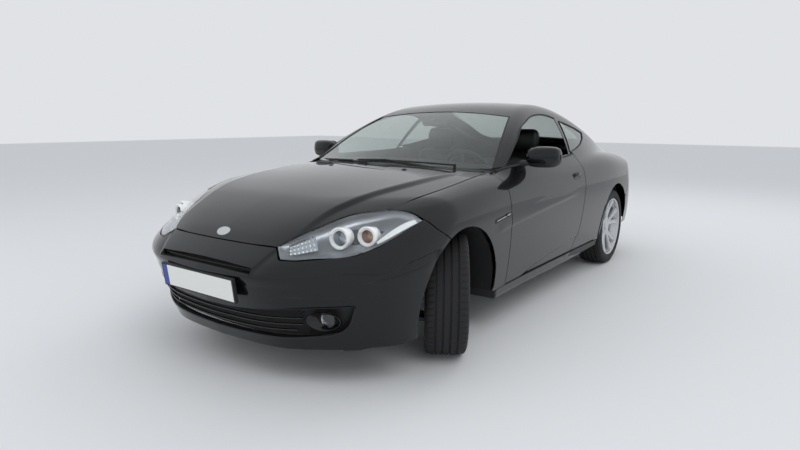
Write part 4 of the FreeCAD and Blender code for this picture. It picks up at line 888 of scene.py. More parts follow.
for side, turn in (("left", lambda g: g), ("right", flip_y)):
    panel("quarter_pane_" + side, [turn(quarter_pane)], 0.004, WINDOW, node="quarter_glass_" + side)
print("panes made")

# %% Rear bumper cover
rear_low = np.concatenate([tail_line(0.300, 0.0, -1.62)[::-1]])
rear_high = tail_line(0.687, 0.0, -1.647)[::-1]
rear_joint = np.concatenate([arch_line(REAR_AXLE_X, 0.30, 0.531, -1, 12),
                             on_side([(-1.546, 0.56), (-1.581, 0.605), (-1.616, 0.65), (-1.647, 0.687)])])
rear_mid = on_rear([(0.0, z) for z in np.linspace(0.300, 0.687, 12)])
rear_half = face(tail_rays, (rear_low, rear_high, rear_mid, rear_joint), (81, 31))
rear_half[..., 0] = np.maximum(rear_half[..., 0], cad_box[0][0] + 0.0005)
panel("rear_bumper_cover", [rear_half, flip_y(rear_half)], 0.004, node="rear_bumper")

# %% [markdown]
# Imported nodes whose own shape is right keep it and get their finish.

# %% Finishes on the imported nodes
FINISHES = {TRIM: ("cowl", "wiper_left", "wiper_right", "lower_grille", "upper_grille", "front_liner_left",
                   "front_liner_right", "rear_liner_left", "rear_liner_right", "interior_mirror"),
            GLOSS_TRIM: ("door_handle_left", "door_handle_right"), ENAMEL: ("mirror_left", "mirror_right"),
            STEEL: ("floor_pan", "front_frame", "exhaust", "front_subframe", "rear_axle"),
            IRON: ("engine_block", "knuckle_left", "knuckle_right"),
            ALLOY: ("wheel_front_left", "wheel_front_right", "wheel_rear_left", "wheel_rear_right"),
            TYRE_RUBBER: ("tyre_front_left", "tyre_front_right", "tyre_rear_left", "tyre_rear_right"),
            LENS: ("headlamp_left", "headlamp_right", "fog_lamp_left", "fog_lamp_right"),
            RED_LENS: ("tail_lamp_left", "tail_lamp_right"), PLATE_WHITE: ("front_plate",),
            LEATHER: ("seat_left", "seat_right", "rear_seat"),}
for finish, nodes in FINISHES.items():
    for node in nodes:
        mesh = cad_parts[node].data
        mesh.materials.clear()
        mesh.materials.append(finish)
print("finishes on", sum(len(nodes) for nodes in FINISHES.values()), "nodes")

# %% [markdown]
# Headlamps. The clear lens is one more patch of the nose form. Behind it lies a bowl: the same patch pushed
# in, deepest in its middle. Two round units stand in the bowl, and a fluted reflector fills the inner
# corner. A white tapering strip under the lens's lower outer edge is a painted highlight that stands for the
# sky's reflection there.

# %% Headlamp lens, bowl and units
LAMP_BOTTOM = [(0.426, 0.609), (0.505, 0.609), (0.566, 0.615), (0.690, 0.626), (0.742, 0.657),
               (0.808, 0.745)]
LAMP_TOP = [(0.371, 0.650), (0.431, 0.694), (0.499, 0.743), (0.559, 0.775), (0.602, 0.783), (0.659, 0.790),
            (0.723, 0.783), (0.777, 0.764)]
LAMP_SIDES = (on_front(along(LAMP_BOTTOM, np.linspace(0, 1, 60))),
              on_front(along(LAMP_TOP, np.linspace(0, 1, 60))), front_line((0.426, 0.609), (0.371, 0.650)),
              front_line((0.808, 0.745), (0.777, 0.764)))
LAMP_EDGE = (0.005, 0.012, 0.02, 0.025)
UNITS = [((1.893, 0.588, 0.686), 0.050, "clear"), ((1.812, 0.676, 0.692), 0.046, "warm")]


def lamp_part(counts, span_u=(0, 1), span_v=(0, 1), depth=0.0):
    """Part of the lamp patch, between shares of its length and height, set in by depth."""
    margins = (span_u[0] + LAMP_EDGE[0], 1 - span_u[1] + LAMP_EDGE[1], span_v[0] + LAMP_EDGE[2],
               1 - span_v[1] + LAMP_EDGE[3])
    return face(nose_rays, LAMP_SIDES, counts, margins, set_in=depth)


lens_grid = lamp_part((81, 33), depth=0.001)
u, v = np.meshgrid(np.linspace(0, 1, 81), np.linspace(0, 1, 33), indexing="ij")
bowl_depth = 0.006 + 0.085 * np.clip(np.sin(np.pi * u) * np.sin(np.pi * v), 0, 1) ** 0.45
bowl_grid = lamp_part((81, 33), depth=bowl_depth)
flute_u = np.linspace(0, 1, 61)
flute_depth = 0.020 + 0.008 * np.abs((flute_u * 7) % 1
                                     - 0.5)[:, None] + 0.004 * np.abs((np.linspace(0, 1, 21) * 3) % 1
                                                                      - 0.5)[None]
flute_grid = lamp_part((61, 21), (0.06, 0.255), (0.24, 0.80), flute_depth)
# Painted highlight: a white strip 10 mm under the lens, widening towards the outer end, whose colour stands
# for the sky's reflection on the lens.
band = lamp_part((41, 7), (0.60, 0.955), (0.045, 0.36), 0.010)
taper = np.linspace(0.10, 1.0, 41)[:, None, None] ** 0.7
painted_highlight_grid = band[:, :1] + (band[:, -1:] - band[:, :1]) * taper * np.linspace(0, 1, 7)[None, :, None]
for side, turn, s in (("left", lambda g: np.asarray(g), 1), ("right", flip_y, -1)):
    behind = (1.2, 0.3 * s, 0.4)
    node = "headlamp_" + side
    panel("lamp_lens_" + side, [turn(lens_grid)], 0.0025, LENS, node=node)
    bowl = mesh_piece("lamp_bowl_" + side, [turn(bowl_grid)], BOWL, outward_from=behind)
    flutes = mesh_piece("lamp_flutes_" + side, [turn(flute_grid)], REFLECTOR, outward_from=behind,
                        smooth=False)
    highlight_strip = mesh_piece("lamp_painted_highlight_" + side, [turn(painted_highlight_grid)], WHITE_RING_PLASTIC_AND_PAINTED_HIGHLIGHT, outward_from=behind)
    parts = [bowl, flutes, highlight_strip]
    for index, (centre, radius, kind) in enumerate(UNITS):
        ahead = (0.985, 0.17 * s, 0.02)
        centre = turn(np.array(centre))
        ring = [(-0.002, radius - 0.016), (0.005, radius - 0.005), (0.004, radius - 0.001),
                (-0.004, radius), (-0.060, radius - 0.010), (-0.060, radius - 0.020),
                (-0.010, radius - 0.017), (-0.002, radius - 0.016)]
        parts.append(mesh_piece(f"lamp_ring_{index}_{side}", [turned(ring, centre, ahead, 48)],
                                WHITE_RING_PLASTIC_AND_PAINTED_HIGHLIGHT))
        cup = [(-0.050, 0.0), (-0.046, 0.012), (-0.036, 0.022), (-0.020, 0.028), (-0.006, radius - 0.017),
               (-0.010, radius - 0.016), (-0.055, radius - 0.022), (-0.056, 0.0)]
        parts.append(mesh_piece(f"lamp_cup_{index}_{side}", [turned(cup, centre, ahead, 48)],
                                REFLECTOR if kind == "clear" else WARM))
        t = np.linspace(0, 1, 12)
        dome = np.stack([-0.018 + 0.012 * np.cos(t * np.pi / 2), 0.024 * np.sin(t * np.pi / 2)], -1)
        dome = np.concatenate([dome, [(-0.022, 0.024), (-0.022, 0.0)]])
        parts.append(mesh_piece(f"lamp_dome_{index}_{side}", [turned(dome, centre, ahead, 40)], LENS))
    for piece in parts:
        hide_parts(node)
print("lamp lens reaches x", lens_grid[..., 0].max().round(3), "bowl depth", bowl_depth.max().round(3))

# %% [markdown]
# The mouth of the bumper. Three thin bars follow the nose in plan. The fog lamps sit at its ends in dished
# oval bezels, and a return flange runs round each cut-out, as on a moulded bumper cover.


# %% Intake, slot and fog lamps
def flange(points, depth, finish, name):
    """A return flange: a closed outline on the skin, carried straight back by depth."""
    start = on_front(points)
    rows = start[:, None] + np.array((-1.0, 0.0, 0.0)) * np.array((0.001, 0.5, 1.0))[None, :, None] * depth
    piece = mesh_piece(name, [rows], finish, outward_from=None)
    return thicken(piece, 0.002, 0)


def both_halves(points):
    """A front-view outline from y = 0 out and back to y = 0, completed on the right side."""
    p = np.asarray(points, float)
    return np.concatenate([p, p[::-1] * (-1.0, 1.0)])


intake_loop = both_halves(along(INTAKE_LOW + INTAKE_END[1:] + INTAKE_TOP[::-1][1:], np.linspace(0, 1, 90),
                                straight=True))
slot_loop = both_halves(along(SLOT_LOW + SLOT_TOP[::-1], np.linspace(0, 1, 50), straight=True))
for name, loop, depth in (("intake_flange", intake_loop, 0.035), ("slot_flange", slot_loop, 0.030)):
    piece = flange(loop, depth, TRIM, name)
    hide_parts("lower_grille" if name == "intake_flange" else "upper_grille")
bar_parts = []
for z, half in ((0.278, 0.47), (0.308, 0.50), (0.338, 0.50)):
    y = np.linspace(-half, half, 61)
    path = on_front(np.stack([y, z + 0.012 * (y / half) ** 2], -1)) - np.array((0.014, 0, 0))
    bar_parts.append(swept(path, oval(0.014, 0.007, 10, 3.0)))
bars = mesh_piece("intake_bars", bar_parts, GLOSS_TRIM)
slot_path = on_front(np.stack([np.linspace(-0.315, 0.315, 41), np.full(41, 0.559)],
                              -1)) - np.array((0.018, 0, 0))
slot_bar = mesh_piece("slot_bar", [swept(slot_path, oval(0.008, 0.006, 8, 3.0))], TRIM)


def mesh_wall(name, loop_half, z_low, z_high, set_in, cell):
    """A dark honeycomb-like wall behind an opening: two families of slanting slats."""
    parts = []
    for lean in (1, -1):
        for start in np.arange(-loop_half - 0.1, loop_half + 0.1, cell):
            y = start + lean * np.linspace(0, z_high - z_low, 9)
            z = np.linspace(z_low, z_high, 9)
            keep = np.abs(y) < loop_half
            if keep.sum() > 2:
                path = on_front(np.stack([y[keep], z[keep]], -1)) - np.array((set_in, 0, 0))
                parts.append(swept(path, oval(0.005, 0.0025, 6), up=(1, 0, 0)))
    return mesh_piece(name, parts, TRIM)


lower_mesh = mesh_wall("intake_mesh", 0.50, 0.246, 0.385, 0.040, 0.018)
upper_mesh = mesh_wall("slot_mesh", 0.320, 0.545, 0.574, 0.034, 0.012)
for piece, node in ((bars, "lower_grille"), (lower_mesh, "lower_grille"), (slot_bar, "upper_grille"),
                    (upper_mesh, "upper_grille")):
    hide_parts(node)
for name, z_low, z_high, half, node in (("intake_back", 0.235, 0.415, 0.69, "lower_grille"),
                                        ("slot_back", 0.53, 0.59, 0.34, "upper_grille")):
    y, z = np.meshgrid(np.linspace(-half, half, 61), np.linspace(z_low, z_high, 9), indexing="ij")
    wall = on_front(np.stack([y, z], -1).reshape(-1, 2)).reshape(61, 9, 3) - np.array((0.055, 0, 0))
    piece = thicken(mesh_piece(name, [wall], TRIM, outward_from=(1.0, 0, 0.4)), 0.003, 0)
    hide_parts(node)
FOG_Y, FOG_Z = 0.581, 0.338
for side, s in (("left", 1), ("right", -1)):
    t = np.linspace(0, 2 * np.pi, 49)
    rows = []
    for share, sink in ((1.0, 0.006), (0.94, 0.001), (0.86, 0.006), (0.62, 0.034), (0.55, 0.036)):
        ring = on_front(np.stack([FOG_Y + 0.063 * share * np.cos(t), FOG_Z + 0.047 * share * np.sin(t)],
                                 -1))
        rows.append(ring - np.array((sink, 0, 0)))
    bezel_grid = np.stack(rows, 1) * np.array((1, s, 1))
    bezel = thicken(mesh_piece("fog_bezel_" + side, [bezel_grid], GLOSS_TRIM,
                               outward_from=(1.4, 0.581 * s, 0.344)), 0.002, 0)
    centre = on_front([(FOG_Y, FOG_Z)])[0] * np.array((1, s, 1)) - np.array((0.040, 0, 0))
    cup = [(-0.030, 0.0), (-0.024, 0.016), (-0.010, 0.027), (0.002, 0.031), (0.004, 0.034),
           (-0.004, 0.034), (-0.034, 0.020), (-0.034, 0.0)]
    ahead = (0.96, 0.28 * s, 0.0)
    fog_cup = mesh_piece("fog_cup_" + side, [turned(cup, centre, ahead, 48)], REFLECTOR)
    lens_profile = [(0.004, 0.0), (0.0035, 0.015), (0.002, 0.030), (-0.001, 0.030), (0.001, 0.0)]
    fog_lens = mesh_piece("fog_lens_" + side, [turned(lens_profile, centre, ahead, 48)], LENS)
    for piece in (bezel, fog_cup, fog_lens):
        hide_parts("fog_lamp_" + side)
print("intake, slot and fog lamps made")

chin_lip = both_halves(along(INTAKE_LOW + INTAKE_END[1:], np.linspace(0, 1, 50)))
lip = mesh_piece("chin_lip",
                 [swept(on_front(chin_lip) - np.array((0.002, 0, 0)), oval(0.012, 0.010, 12, 2.4))], ENAMEL)
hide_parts("front_bumper")

# %% Plate and hood oval
PLATE_LOW, PLATE_HIGH = np.array((2.202, 0, 0.409)), np.array((2.216, 0, 0.520))
plate_up = PLATE_HIGH - PLATE_LOW
plate_out = np.cross((0, 1.0, 0), plate_up / np.linalg.norm(plate_up))


def slab(y0, y1, low, high, front, back):
    """A thin slab on the plate's plane: from share low to high of its height, front and back in metres
    behind it.
    """
    corners = []
    for depth in (front, back):
        at = [PLATE_LOW + plate_up * h + np.array((0, y, 0)) - plate_out * depth for y,
              h in ((y0, low), (y1, low), (y1, high), (y0, high))]
        corners.append(at)
    a, b = np.array(corners[0]), np.array(corners[1])
    ring = np.stack([np.concatenate([a, a[:1]]), np.concatenate([b, b[:1]])])
    caps = [np.stack([np.stack([c[0], c[1]]), np.stack([c[3], c[2]])]) for c in (a, b)]
    return [ring] + caps


plate_parts = [("plate_frame", slab(-0.262, 0.262, 0.0, 1.0, 0.0022, 0.018), TRIM, "plate"),
               ("plate_sheet", slab(-0.218, 0.254, 0.055, 0.945, 0.0008, 0.0022), PLATE_WHITE, "plate"),
               ("plate_band", slab(-0.254, -0.219, 0.055, 0.945, 0.0008, 0.0022), PLATE_BLUE, "plate")]
for name, grids, finish, slot in plate_parts:
    piece = mesh_piece(name, grids, finish, smooth=False)
    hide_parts("front_plate")
t = np.linspace(0, 2 * np.pi, 49)
rows = []
for share, lift in ((1.0, 0.0), (0.97, 0.0025), (0.9, 0.004), (0.82, 0.003), (0.4, 0.0028), (0.0, 0.0028)):
    y, x = 0.042 * share * np.cos(t), 2.046 - 0.022 * share * np.sin(t)
    p = on_top(np.stack([x, y], -1))
    rows.append(p + outward(lower_form, p) * lift)
oval_piece = mesh_piece("hood_oval", [np.stack(rows, 1)], CHROME, "hood", outward_from=(1.9, 0, 0.3))
print("plate and hood oval made")

# %% [markdown]
# Wheels. Barrel, hub and tyre are lathe surfaces. The tyre's profile is then pushed in along its radius:
# four grooves run round it, and short slots cross both shoulders, 72 to a turn. Each wheel stands at its
# own centre and along its own axle line, so the front wheels come out steered.

# %% Wheels, brakes and tyres
WHEELS = [
    ("front_left", (1.23838, 0.73193, 0.313), (-math.sin(math.radians(33)), math.cos(math.radians(33)), 0)),
    ("front_right", (1.32301, -0.73414, 0.313), (0.5, -math.sqrt(0.75), 0)),
    ("rear_left", (REAR_AXLE_X, 0.745, 0.313), (0, 1, 0)),
    ("rear_right", (REAR_AXLE_X, -0.745, 0.313), (0, -1, 0)),
]
RIM = [(0.0990, 0.2380), (0.1000, 0.2365), (0.0985, 0.2300), (0.0920, 0.2262), (0.0800, 0.2235),
       (0.0660, 0.2185), (0.0400, 0.2060), (-0.0600, 0.2040), (-0.0950, 0.2150), (-0.1000, 0.2260),
       (-0.1000, 0.2380), (-0.0930, 0.2380), (-0.0910, 0.2290), (-0.0600, 0.2270), (-0.0400, 0.2120),
       (0.0400, 0.2120), (0.0600, 0.2270), (0.0910, 0.2290), (0.0930, 0.2380), (0.0990, 0.2380)]
HUB = [(0.026, 0.0), (0.026, 0.077), (0.050, 0.080), (0.058, 0.077), (0.062, 0.070), (0.059, 0.052),
       (0.060, 0.040), (0.066, 0.036), (0.069, 0.031), (0.0700, 0.026), (0.0705, 0.0)]
BRAKE = [(-0.027, 0.062), (-0.027, 0.150), (-0.005, 0.150), (-0.005, 0.088), (0.026, 0.082), (0.026, 0.0),
         (0.018, 0.0), (0.018, 0.062), (-0.027, 0.062)]
BOLT = [(0.046, 0.0), (0.046, 0.0085), (0.0585, 0.0085), (0.060, 0.007), (0.060, 0.0)]
SPOKE_TURNS = 5
TREAD_PITCHES, STEPS = 60, 5


def wheel_space(centre, outwards):
    """Centre, outward axis, level axis across it and up, as arrays."""
    out = np.array(outwards, float)
    return np.array(centre), out, np.cross(out, (0.0, 0.0, 1.0)), np.array((0.0, 0.0, 1.0))


def spoke_grid(space, angle, lean):
    """One spoke: its centre line runs from the hub to the rim while it turns by lean, and its section
    narrows.

    At share t of its length the radius is 0.052 + 0.170 t, and the face stands 0.058 + 0.030 t ** 1.6
    outside the middle.
    """
    centre, out, side, up = space
    t = np.linspace(0, 1, 25)
    turn = math.radians(angle) + np.radians(lean * (0.45 + 0.75 * t))
    radial = np.cos(turn)[:, None] * side + np.sin(turn)[:, None] * up
    path = centre + (0.052 + 0.170 * t)[:, None] * radial + (0.058 + 0.030 * t ** 1.6)[:, None] * out
    section = np.array([(-0.5, -0.62), (-0.5, -0.10), (-0.40, 0.06), (-0.14, 0.02), (0.0, -0.03),
                        (0.14, 0.02), (0.40, 0.06), (0.5, -0.10), (0.5, -0.62), (0.0, -0.75)])
    width = 0.040 - 0.008 * np.sin(np.pi * t) + 0.004 * t
    return swept(path, section, up=out, scale=width)


def tread_profile():
    """The tyre's profile (s, r) from bead to bead, with a mark for each point: 1 groove floor, 2 shoulder,
    3 notch.
    """
    rows = [(-0.084, 0.229, 0), (-0.0925, 0.229, 0), (-0.0945, 0.240, 0), (-0.1005, 0.246, 0),
            (-0.1062, 0.256, 0), (-0.1075, 0.267, 0), (-0.1062, 0.280, 0), (-0.1030, 0.292, 0),
            (-0.0985, 0.3010, 0), (-0.0945, 0.3052, 2), (-0.0900, 0.3082, 2), (-0.0820, 0.3108, 2),
            (-0.0740, 0.3121, 2), (-0.0670, 0.3127, 2), (-0.0650, 0.3128, 0), (-0.0600, 0.3130, 0)]
    for groove in (-0.054, -0.018, 0.018, 0.054):
        rows += [(groove - 0.0048, 0.3130, 3 if groove > 0.05 else 0), (groove - 0.0040, 0.3130, 1),
                 (groove + 0.0040, 0.3130, 1), (groove + 0.0048, 0.3130, 3 if groove < -0.05 else 0)]
        if groove < 0.05:
            rows += [(groove + 0.0090, 0.3130, 3 if groove < -0.05 else 0), (groove + 0.0180, 0.3130, 0),
                     (groove + 0.0270, 0.3130, 3 if groove > 0.01 else 0)]
    right = [(-s, r, mark) for s, r, mark in rows[:16][::-1]]
    closing = [(0.084, 0.229, 0), (0.080, 0.236, 0), (-0.080, 0.236, 0), (-0.084, 0.229, 0)]
    return np.array(rows + right[:-1] + closing)


def tyre_grid(centre, outwards):
    """The tread cut into the lathe surface: floors 7 mm deep, shoulder slots 4.5 mm deep in one step of
    every five.
    """
    profile = tread_profile()
    grid = turned(profile[:, :2], centre, outwards, TREAD_PITCHES * STEPS)
    centre, out, side, up = wheel_space(centre, outwards)
    offset = grid - centre
    radial = offset - (offset @ out)[..., None] * out
    radial /= np.linalg.norm(radial, axis=-1, keepdims=True)
    step = np.arange(TREAD_PITCHES * STEPS + 1) % STEPS
    mark = profile[:, 2]
    depth = np.where(mark == 1, 0.0070, 0.0)[None, :] + np.where(mark == 2, 0.0045,
                                                                 0.0)[None, :] * (step == 2)[:, None]
    depth = depth + np.where(mark == 3, 0.0035, 0.0)[None, :] * (step == 4)[:, None]
    return grid - depth[..., None] * radial


for name, centre, outwards in WHEELS:
    space = wheel_space(centre, outwards)
    body = "wheel_" + name
    middle, out, side, up = space
    rim = mesh_piece("rim_" + name, [turned(RIM, centre, outwards, 144)], ALLOY, body)
    spokes = [spoke_grid(space, 360 / SPOKE_TURNS * i + 90, lean) for i in range(SPOKE_TURNS)
              for lean in (-13, 13)]
    spoke_piece = mesh_piece("spokes_" + name, spokes, ALLOY, body)
    hub = mesh_piece("hub_" + name, [turned(HUB, centre, outwards, 64)], ALLOY, body)
    turn = np.radians(72 * np.arange(5) + 36 + 90)
    places = [middle + 0.060 * (np.cos(a) * side + np.sin(a) * up) for a in turn]
    bolts = mesh_piece("bolts_" + name, [turned(BOLT, p, outwards, 6) for p in places], STEEL, body,
                       smooth=False)
    disc = mesh_piece("brake_disc_" + name, [turned(BRAKE, centre, outwards, 96)], IRON, body)
    tyre = mesh_piece("tyre_cover_" + name, [tyre_grid(centre, outwards)], TYRE_RUBBER, body, weld=0.0002)
    for piece, node, slot in ((rim, "wheel_", "alloy"), (spoke_piece, "wheel_", "alloy"),
                              (hub, "wheel_", "alloy"), (bolts, "wheel_", "alloy"),
                              (disc, "wheel_", "alloy"), (tyre, "tyre_", "tyre")):
        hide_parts(node + name)
print("tyre:", len(tyre.data.polygons), "faces, profile of", len(tread_profile()), "points")

# %% [markdown]
# Small parts of the flank. The mirror housing is a stack of rounded sections across the car, cut off flat
# behind, where its glass sits. The lower third is grained plastic. Sills, seals, handles and side vents
# follow the skin.


# %% Mirrors, handles, vents, sills and seals
MIRROR_SECTIONS = np.array([  # y, middle x, middle z, length along x, height
    (0.795, 0.405, 0.972, 0.060, 0.050), (0.803, 0.405, 0.974, 0.098, 0.088),
    (0.820, 0.404, 0.976, 0.124, 0.112), (0.850, 0.402, 0.978, 0.134, 0.124),
    (0.890, 0.399, 0.979, 0.134, 0.126), (0.930, 0.396, 0.979, 0.128, 0.124),
    (0.958, 0.391, 0.980, 0.112, 0.116), (0.976, 0.386, 0.981, 0.088, 0.098),
    (0.985, 0.381, 0.981, 0.058, 0.070), (0.988, 0.378, 0.981, 0.020, 0.030)])
GLASS_X = 0.3385


def mirror_shell(from_turn, to_turn, count, grow=0.0):
    """Part of the housing between two angles about its long axis: superellipse sections, cut flat at the
    glass.
    """
    rows = np.stack([np.interp(np.linspace(0, 1, 33), np.linspace(0, 1, len(MIRROR_SECTIONS)), c)
                     for c in MIRROR_SECTIONS.T], 1)
    t = np.radians(np.linspace(from_turn, to_turn, count))
    c, s = np.cos(t), np.sin(t)
    a = np.sign(c) * np.abs(c) ** 0.75 * (rows[:, 3:4] / 2 + grow)
    b = np.sign(s) * np.abs(s) ** 0.75 * (rows[:, 4:5] / 2 + grow)
    x = np.maximum(rows[:, 1:2] + a, GLASS_X)
    return np.stack([x, np.repeat(rows[:, :1], count, 1), rows[:, 2:3] + b], -1)


BELT_SEAL = [(0.70, 0.904), (0.621, 0.919), (0.35, 0.936), (0.0, 0.941), (-0.358, 0.951), (-0.44, 0.957)]
QUARTER_SEAL = QUARTER_TOP[::-1] + [(-0.46, 1.08)] + QUARTER_LOW + QUARTER_TOP[-1:]
FLANK_SEALS = [  # name, body, line, width, height
    ("belt_seal", "door", BELT_SEAL, 0.013, 0.011),
    ("window_seal", "chassis", DOOR_WINDOW_TOP, 0.008, 0.012),
    ("quarter_seal", "chassis", QUARTER_SEAL, 0.006, 0.009)]
for side, turn, s in (("left", lambda g: np.asarray(g), 1), ("right", flip_y, -1)):
    door_body = "door_" + side
    cap = mesh_piece("mirror_cap_" + side, [turn(mirror_shell(-28, 208, 49))], ENAMEL, door_body,
                     outward_from=(0.40, 0.89 * s, 0.978))
    base = mesh_piece("mirror_base_" + side, [turn(mirror_shell(208, 332, 25))], TRIM, door_body,
                      outward_from=(0.40, 0.89 * s, 0.978))
    t = np.linspace(0, 2 * np.pi, 41)
    rows = []
    for share, x in ((1.0, GLASS_X + 0.004), (1.0, GLASS_X - 0.001), (0.93, GLASS_X - 0.001),
                     (0.91, GLASS_X + 0.002)):
        ring = np.stack([0 * t + x, 0.891 + 0.086 * share * np.sign(np.cos(t)) * np.abs(np.cos(t)) ** 0.7,
                         0.979 + 0.057 * share * np.sign(np.sin(t)) * np.abs(np.sin(t)) ** 0.7], -1)
        rows.append(ring)
    bezel = mesh_piece("mirror_bezel_" + side, [turn(np.stack(rows, 1))], GLOSS_TRIM, door_body,
                       outward_from=(0.45, 0.891 * s, 0.979))
    centre = np.array((GLASS_X + 0.002, 0.891, 0.979))
    glass_rows = [centre + (rows[3] - centre) * share for share in (1.0, 0.5, 0.0)]
    silver = mesh_piece("mirror_glass_" + side, [turn(np.stack(glass_rows, 1))], MIRROR_GLASS, door_body,
                        outward_from=(0.45, 0.891 * s, 0.979))
    foot_path = [(0.428, 0.765, 0.938), (0.426, 0.785, 0.939), (0.420, 0.806, 0.941), (0.414, 0.826, 0.946)]
    foot = mesh_piece("mirror_foot_" + side,
                      [turn(swept(foot_path, oval(0.085, 0.034, 24, 2.6), scale=[1.15, 1.0, 0.9, 0.85]))],
                      TRIM, door_body)
    for piece, slot in ((cap, "paint"), (base, "trim"), (bezel, "trim"), (silver, "trim"), (foot, "trim")):
        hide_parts("mirror_" + side)
    t = np.linspace(0, 2 * np.pi, 41)
    outline_x = -0.332 + 0.068 * np.sign(np.cos(t)) * np.abs(np.cos(t)) ** 0.8
    outline_z = 0.809 + 0.026 * np.sign(np.sin(t)) * np.abs(np.sin(t)) ** 0.9
    rows = []
    for share, lift in ((1.0, -0.001), (0.98, 0.0022), (0.93, 0.0026), (0.88, 0.0008), (0.5, 0.0006),
                        (0.0, 0.0006)):
        p = on_side(np.stack([-0.332 + (outline_x + 0.332) * share, 0.809 + (outline_z - 0.809) * share],
                             -1), whole_form)
        rows.append(p + outward(whole_form, p) * lift)
    pan = mesh_piece("handle_pan_" + side, [turn(np.stack(rows, 1))], GLOSS_TRIM, door_body,
                     outward_from=(-0.33, 0.5 * s, 0.7))
    x = np.linspace(-0.388, -0.276, 21)
    p = on_side(np.stack([x, 0.815 + 0 * x], -1), whole_form)
    path = p + outward(whole_form, p) * (0.002 + 0.013 * np.sin(np.pi * np.linspace(0, 1, 21))
                                         ** 0.6)[:, None]
    grip = mesh_piece("handle_grip_" + side,
                      [turn(swept(path, oval(0.010, 0.024, 14, 2.6),
                                  scale=np.sin(np.pi * np.linspace(0.06, 0.94, 21)) ** 0.35))], GLOSS_TRIM,
                      door_body)
    for piece in (pan, grip):
        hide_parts("door_handle_" + side)
    gill_rows = []
    for share in np.linspace(0, 1, 5):
        z = 0.651 + share * 0.0385
        x = np.linspace(0.772 + 0.001 * share, 0.977 - 0.004 * share, 21)
        low = 0.651 + (0.977 - x) / 0.205 * 0.021
        high = 0.672 + (0.977 - x) / 0.205 * 0.018
        p = on_side(np.stack([x, low + (high - low) * share], -1))
        gill_rows.append(p + outward(lower_form, p) * (0.0012 if share in (0, 1) else 0.0006))
    gill = mesh_piece("side_vent_" + side, [turn(np.stack(gill_rows, 1))], TRIM,
                      outward_from=(0.87, 0.4 * s, 0.6))
    bar_line = on_side(np.stack([np.linspace(0.785, 0.965, 13), np.linspace(0.683, 0.664, 13)], -1))
    bar = mesh_piece("vent_bar_" + side,
                     [turn(swept(bar_line + outward(lower_form, bar_line) * 0.003,
                                 oval(0.006, 0.006, 10, 2.4)))], CHROME)
    lamp_line = on_side(np.stack([np.linspace(0.800, 0.850, 9), np.linspace(0.6805, 0.6755, 9)], -1))
    repeater = mesh_piece("repeater_" + side,
                          [turn(swept(lamp_line + outward(lower_form, lamp_line) * 0.0035,
                                      oval(0.008, 0.016, 14, 2.6),
                                      scale=[0.5, 0.8, 0.95, 1, 1, 1, 0.95, 0.8, 0.5]))], LENS)
    skirt_low = on_side([(x, 0.202) for x in np.linspace(-0.862, 0.896, 20)])
    skirt_high = on_side([(x, 0.261) for x in np.linspace(-0.868, 0.900, 20)])
    skirt = face(section_rays, (skirt_low, skirt_high, on_side([(-0.862, 0.202), (-0.868, 0.261)]),
                                on_side([(0.896, 0.202), (0.900, 0.261)])), (61, 7), set_in=-0.0015)
    piece = thicken(mesh_piece("sill_skirt_" + side, [turn(skirt)], ENAMEL,
                               outward_from=(0, 0.5 * s, 0.4)), 0.001, 0)
    for name, owner, seal_line, width, height in FLANK_SEALS:
        dense = np.asarray(seal_line) if len(seal_line) > 11 else along(seal_line, np.linspace(0, 1, 60))
        p = on_side(along(dense, np.linspace(0, 1, 100), straight=True), whole_form)
        p = p + outward(whole_form, p) * 0.001
        seal = mesh_piece(name + "_" + side, [turn(swept(p, oval(width, height, 10, 2.4)))], TRIM,
                          door_body if owner == "door" else "chassis")
    screen_edge = on_top(along(WINDSCREEN_SIDE, np.linspace(0, 1, 40)), cabin_form)
    seal = mesh_piece("screen_seal_" + side, [turn(swept(screen_edge, oval(0.010, 0.006, 10, 2.4)))], TRIM)
    nozzle = on_top([(0.99, 0.285)])[0]
    drop = [(-0.001, 0.016), (0.003, 0.015), (0.0065, 0.009), (0.0075, 0.0)]
    washer = mesh_piece("washer_" + side,
                        [turn(turned(drop, nozzle + (0, 0, 0.010), (0.0, 0.0, 1.0), 20))], GLOSS_TRIM,
                        "hood", outward_from=(0.99, 0.285 * s, 0.8))
print("mirrors, handles, vents, sills and seals made")

# %% [markdown]
# Seats. A car seat is foam under stretched leather, so each pad is simulated. Its rough shape is a side
# profile carried across the seat, with bolsters raised along both edges. The shape is remeshed in 18 mm
# voxels, blown up gently as cloth from inside, and held to a few millimetres of movement. The right seat
# mirrors the left one.

# %% Pads
SEAT_Y = 0.37
CUSHION = [(-0.335, 0.335), (-0.345, 0.43), (-0.10, 0.455), (0.10, 0.490), (0.145, 0.455), (0.125, 0.365),
           (0.0, 0.335)]
BACK = [(-0.330, 0.435), (-0.405, 0.430), (-0.470, 0.70), (-0.525, 0.945), (-0.480, 0.978), (-0.440, 0.960),
        (-0.395, 0.80), (-0.325, 0.62), (-0.300, 0.50)]
HEAD_REST = [(-0.430, 0.955), (-0.495, 0.945), (-0.512, 1.04), (-0.508, 1.115), (-0.470, 1.138),
             (-0.432, 1.125), (-0.420, 1.04)]
BENCH_CUSHION = [(-1.075, 0.315), (-1.080, 0.42), (-0.88, 0.430), (-0.71, 0.460), (-0.672, 0.40),
                 (-0.690, 0.315)]
BENCH_BACK = [(-1.015, 0.45), (-1.080, 0.47), (-1.225, 0.840), (-1.190, 0.862), (-1.150, 0.850),
              (-1.07, 0.65), (-1.005, 0.50)]
# Columns: name, profile (x, z), half width, bolster height, way the bolster rises, cap on movement
SEAT_PADS = [("cushion", CUSHION, 0.240, 0.030, (0.0, 1.0), 0.010),
             ("back", BACK, 0.235, 0.035, (1.0, 0.25), 0.010),
             ("head_rest", HEAD_REST, 0.122, 0.0, (0.0, 1.0), 0.007)]
BENCH_PADS = [("bench_cushion", BENCH_CUSHION, 0.520, 0.012, (0.0, 1.0), 0.010),
              ("bench_back", BENCH_BACK, 0.520, 0.012, (1.0, 0.3), 0.010)]


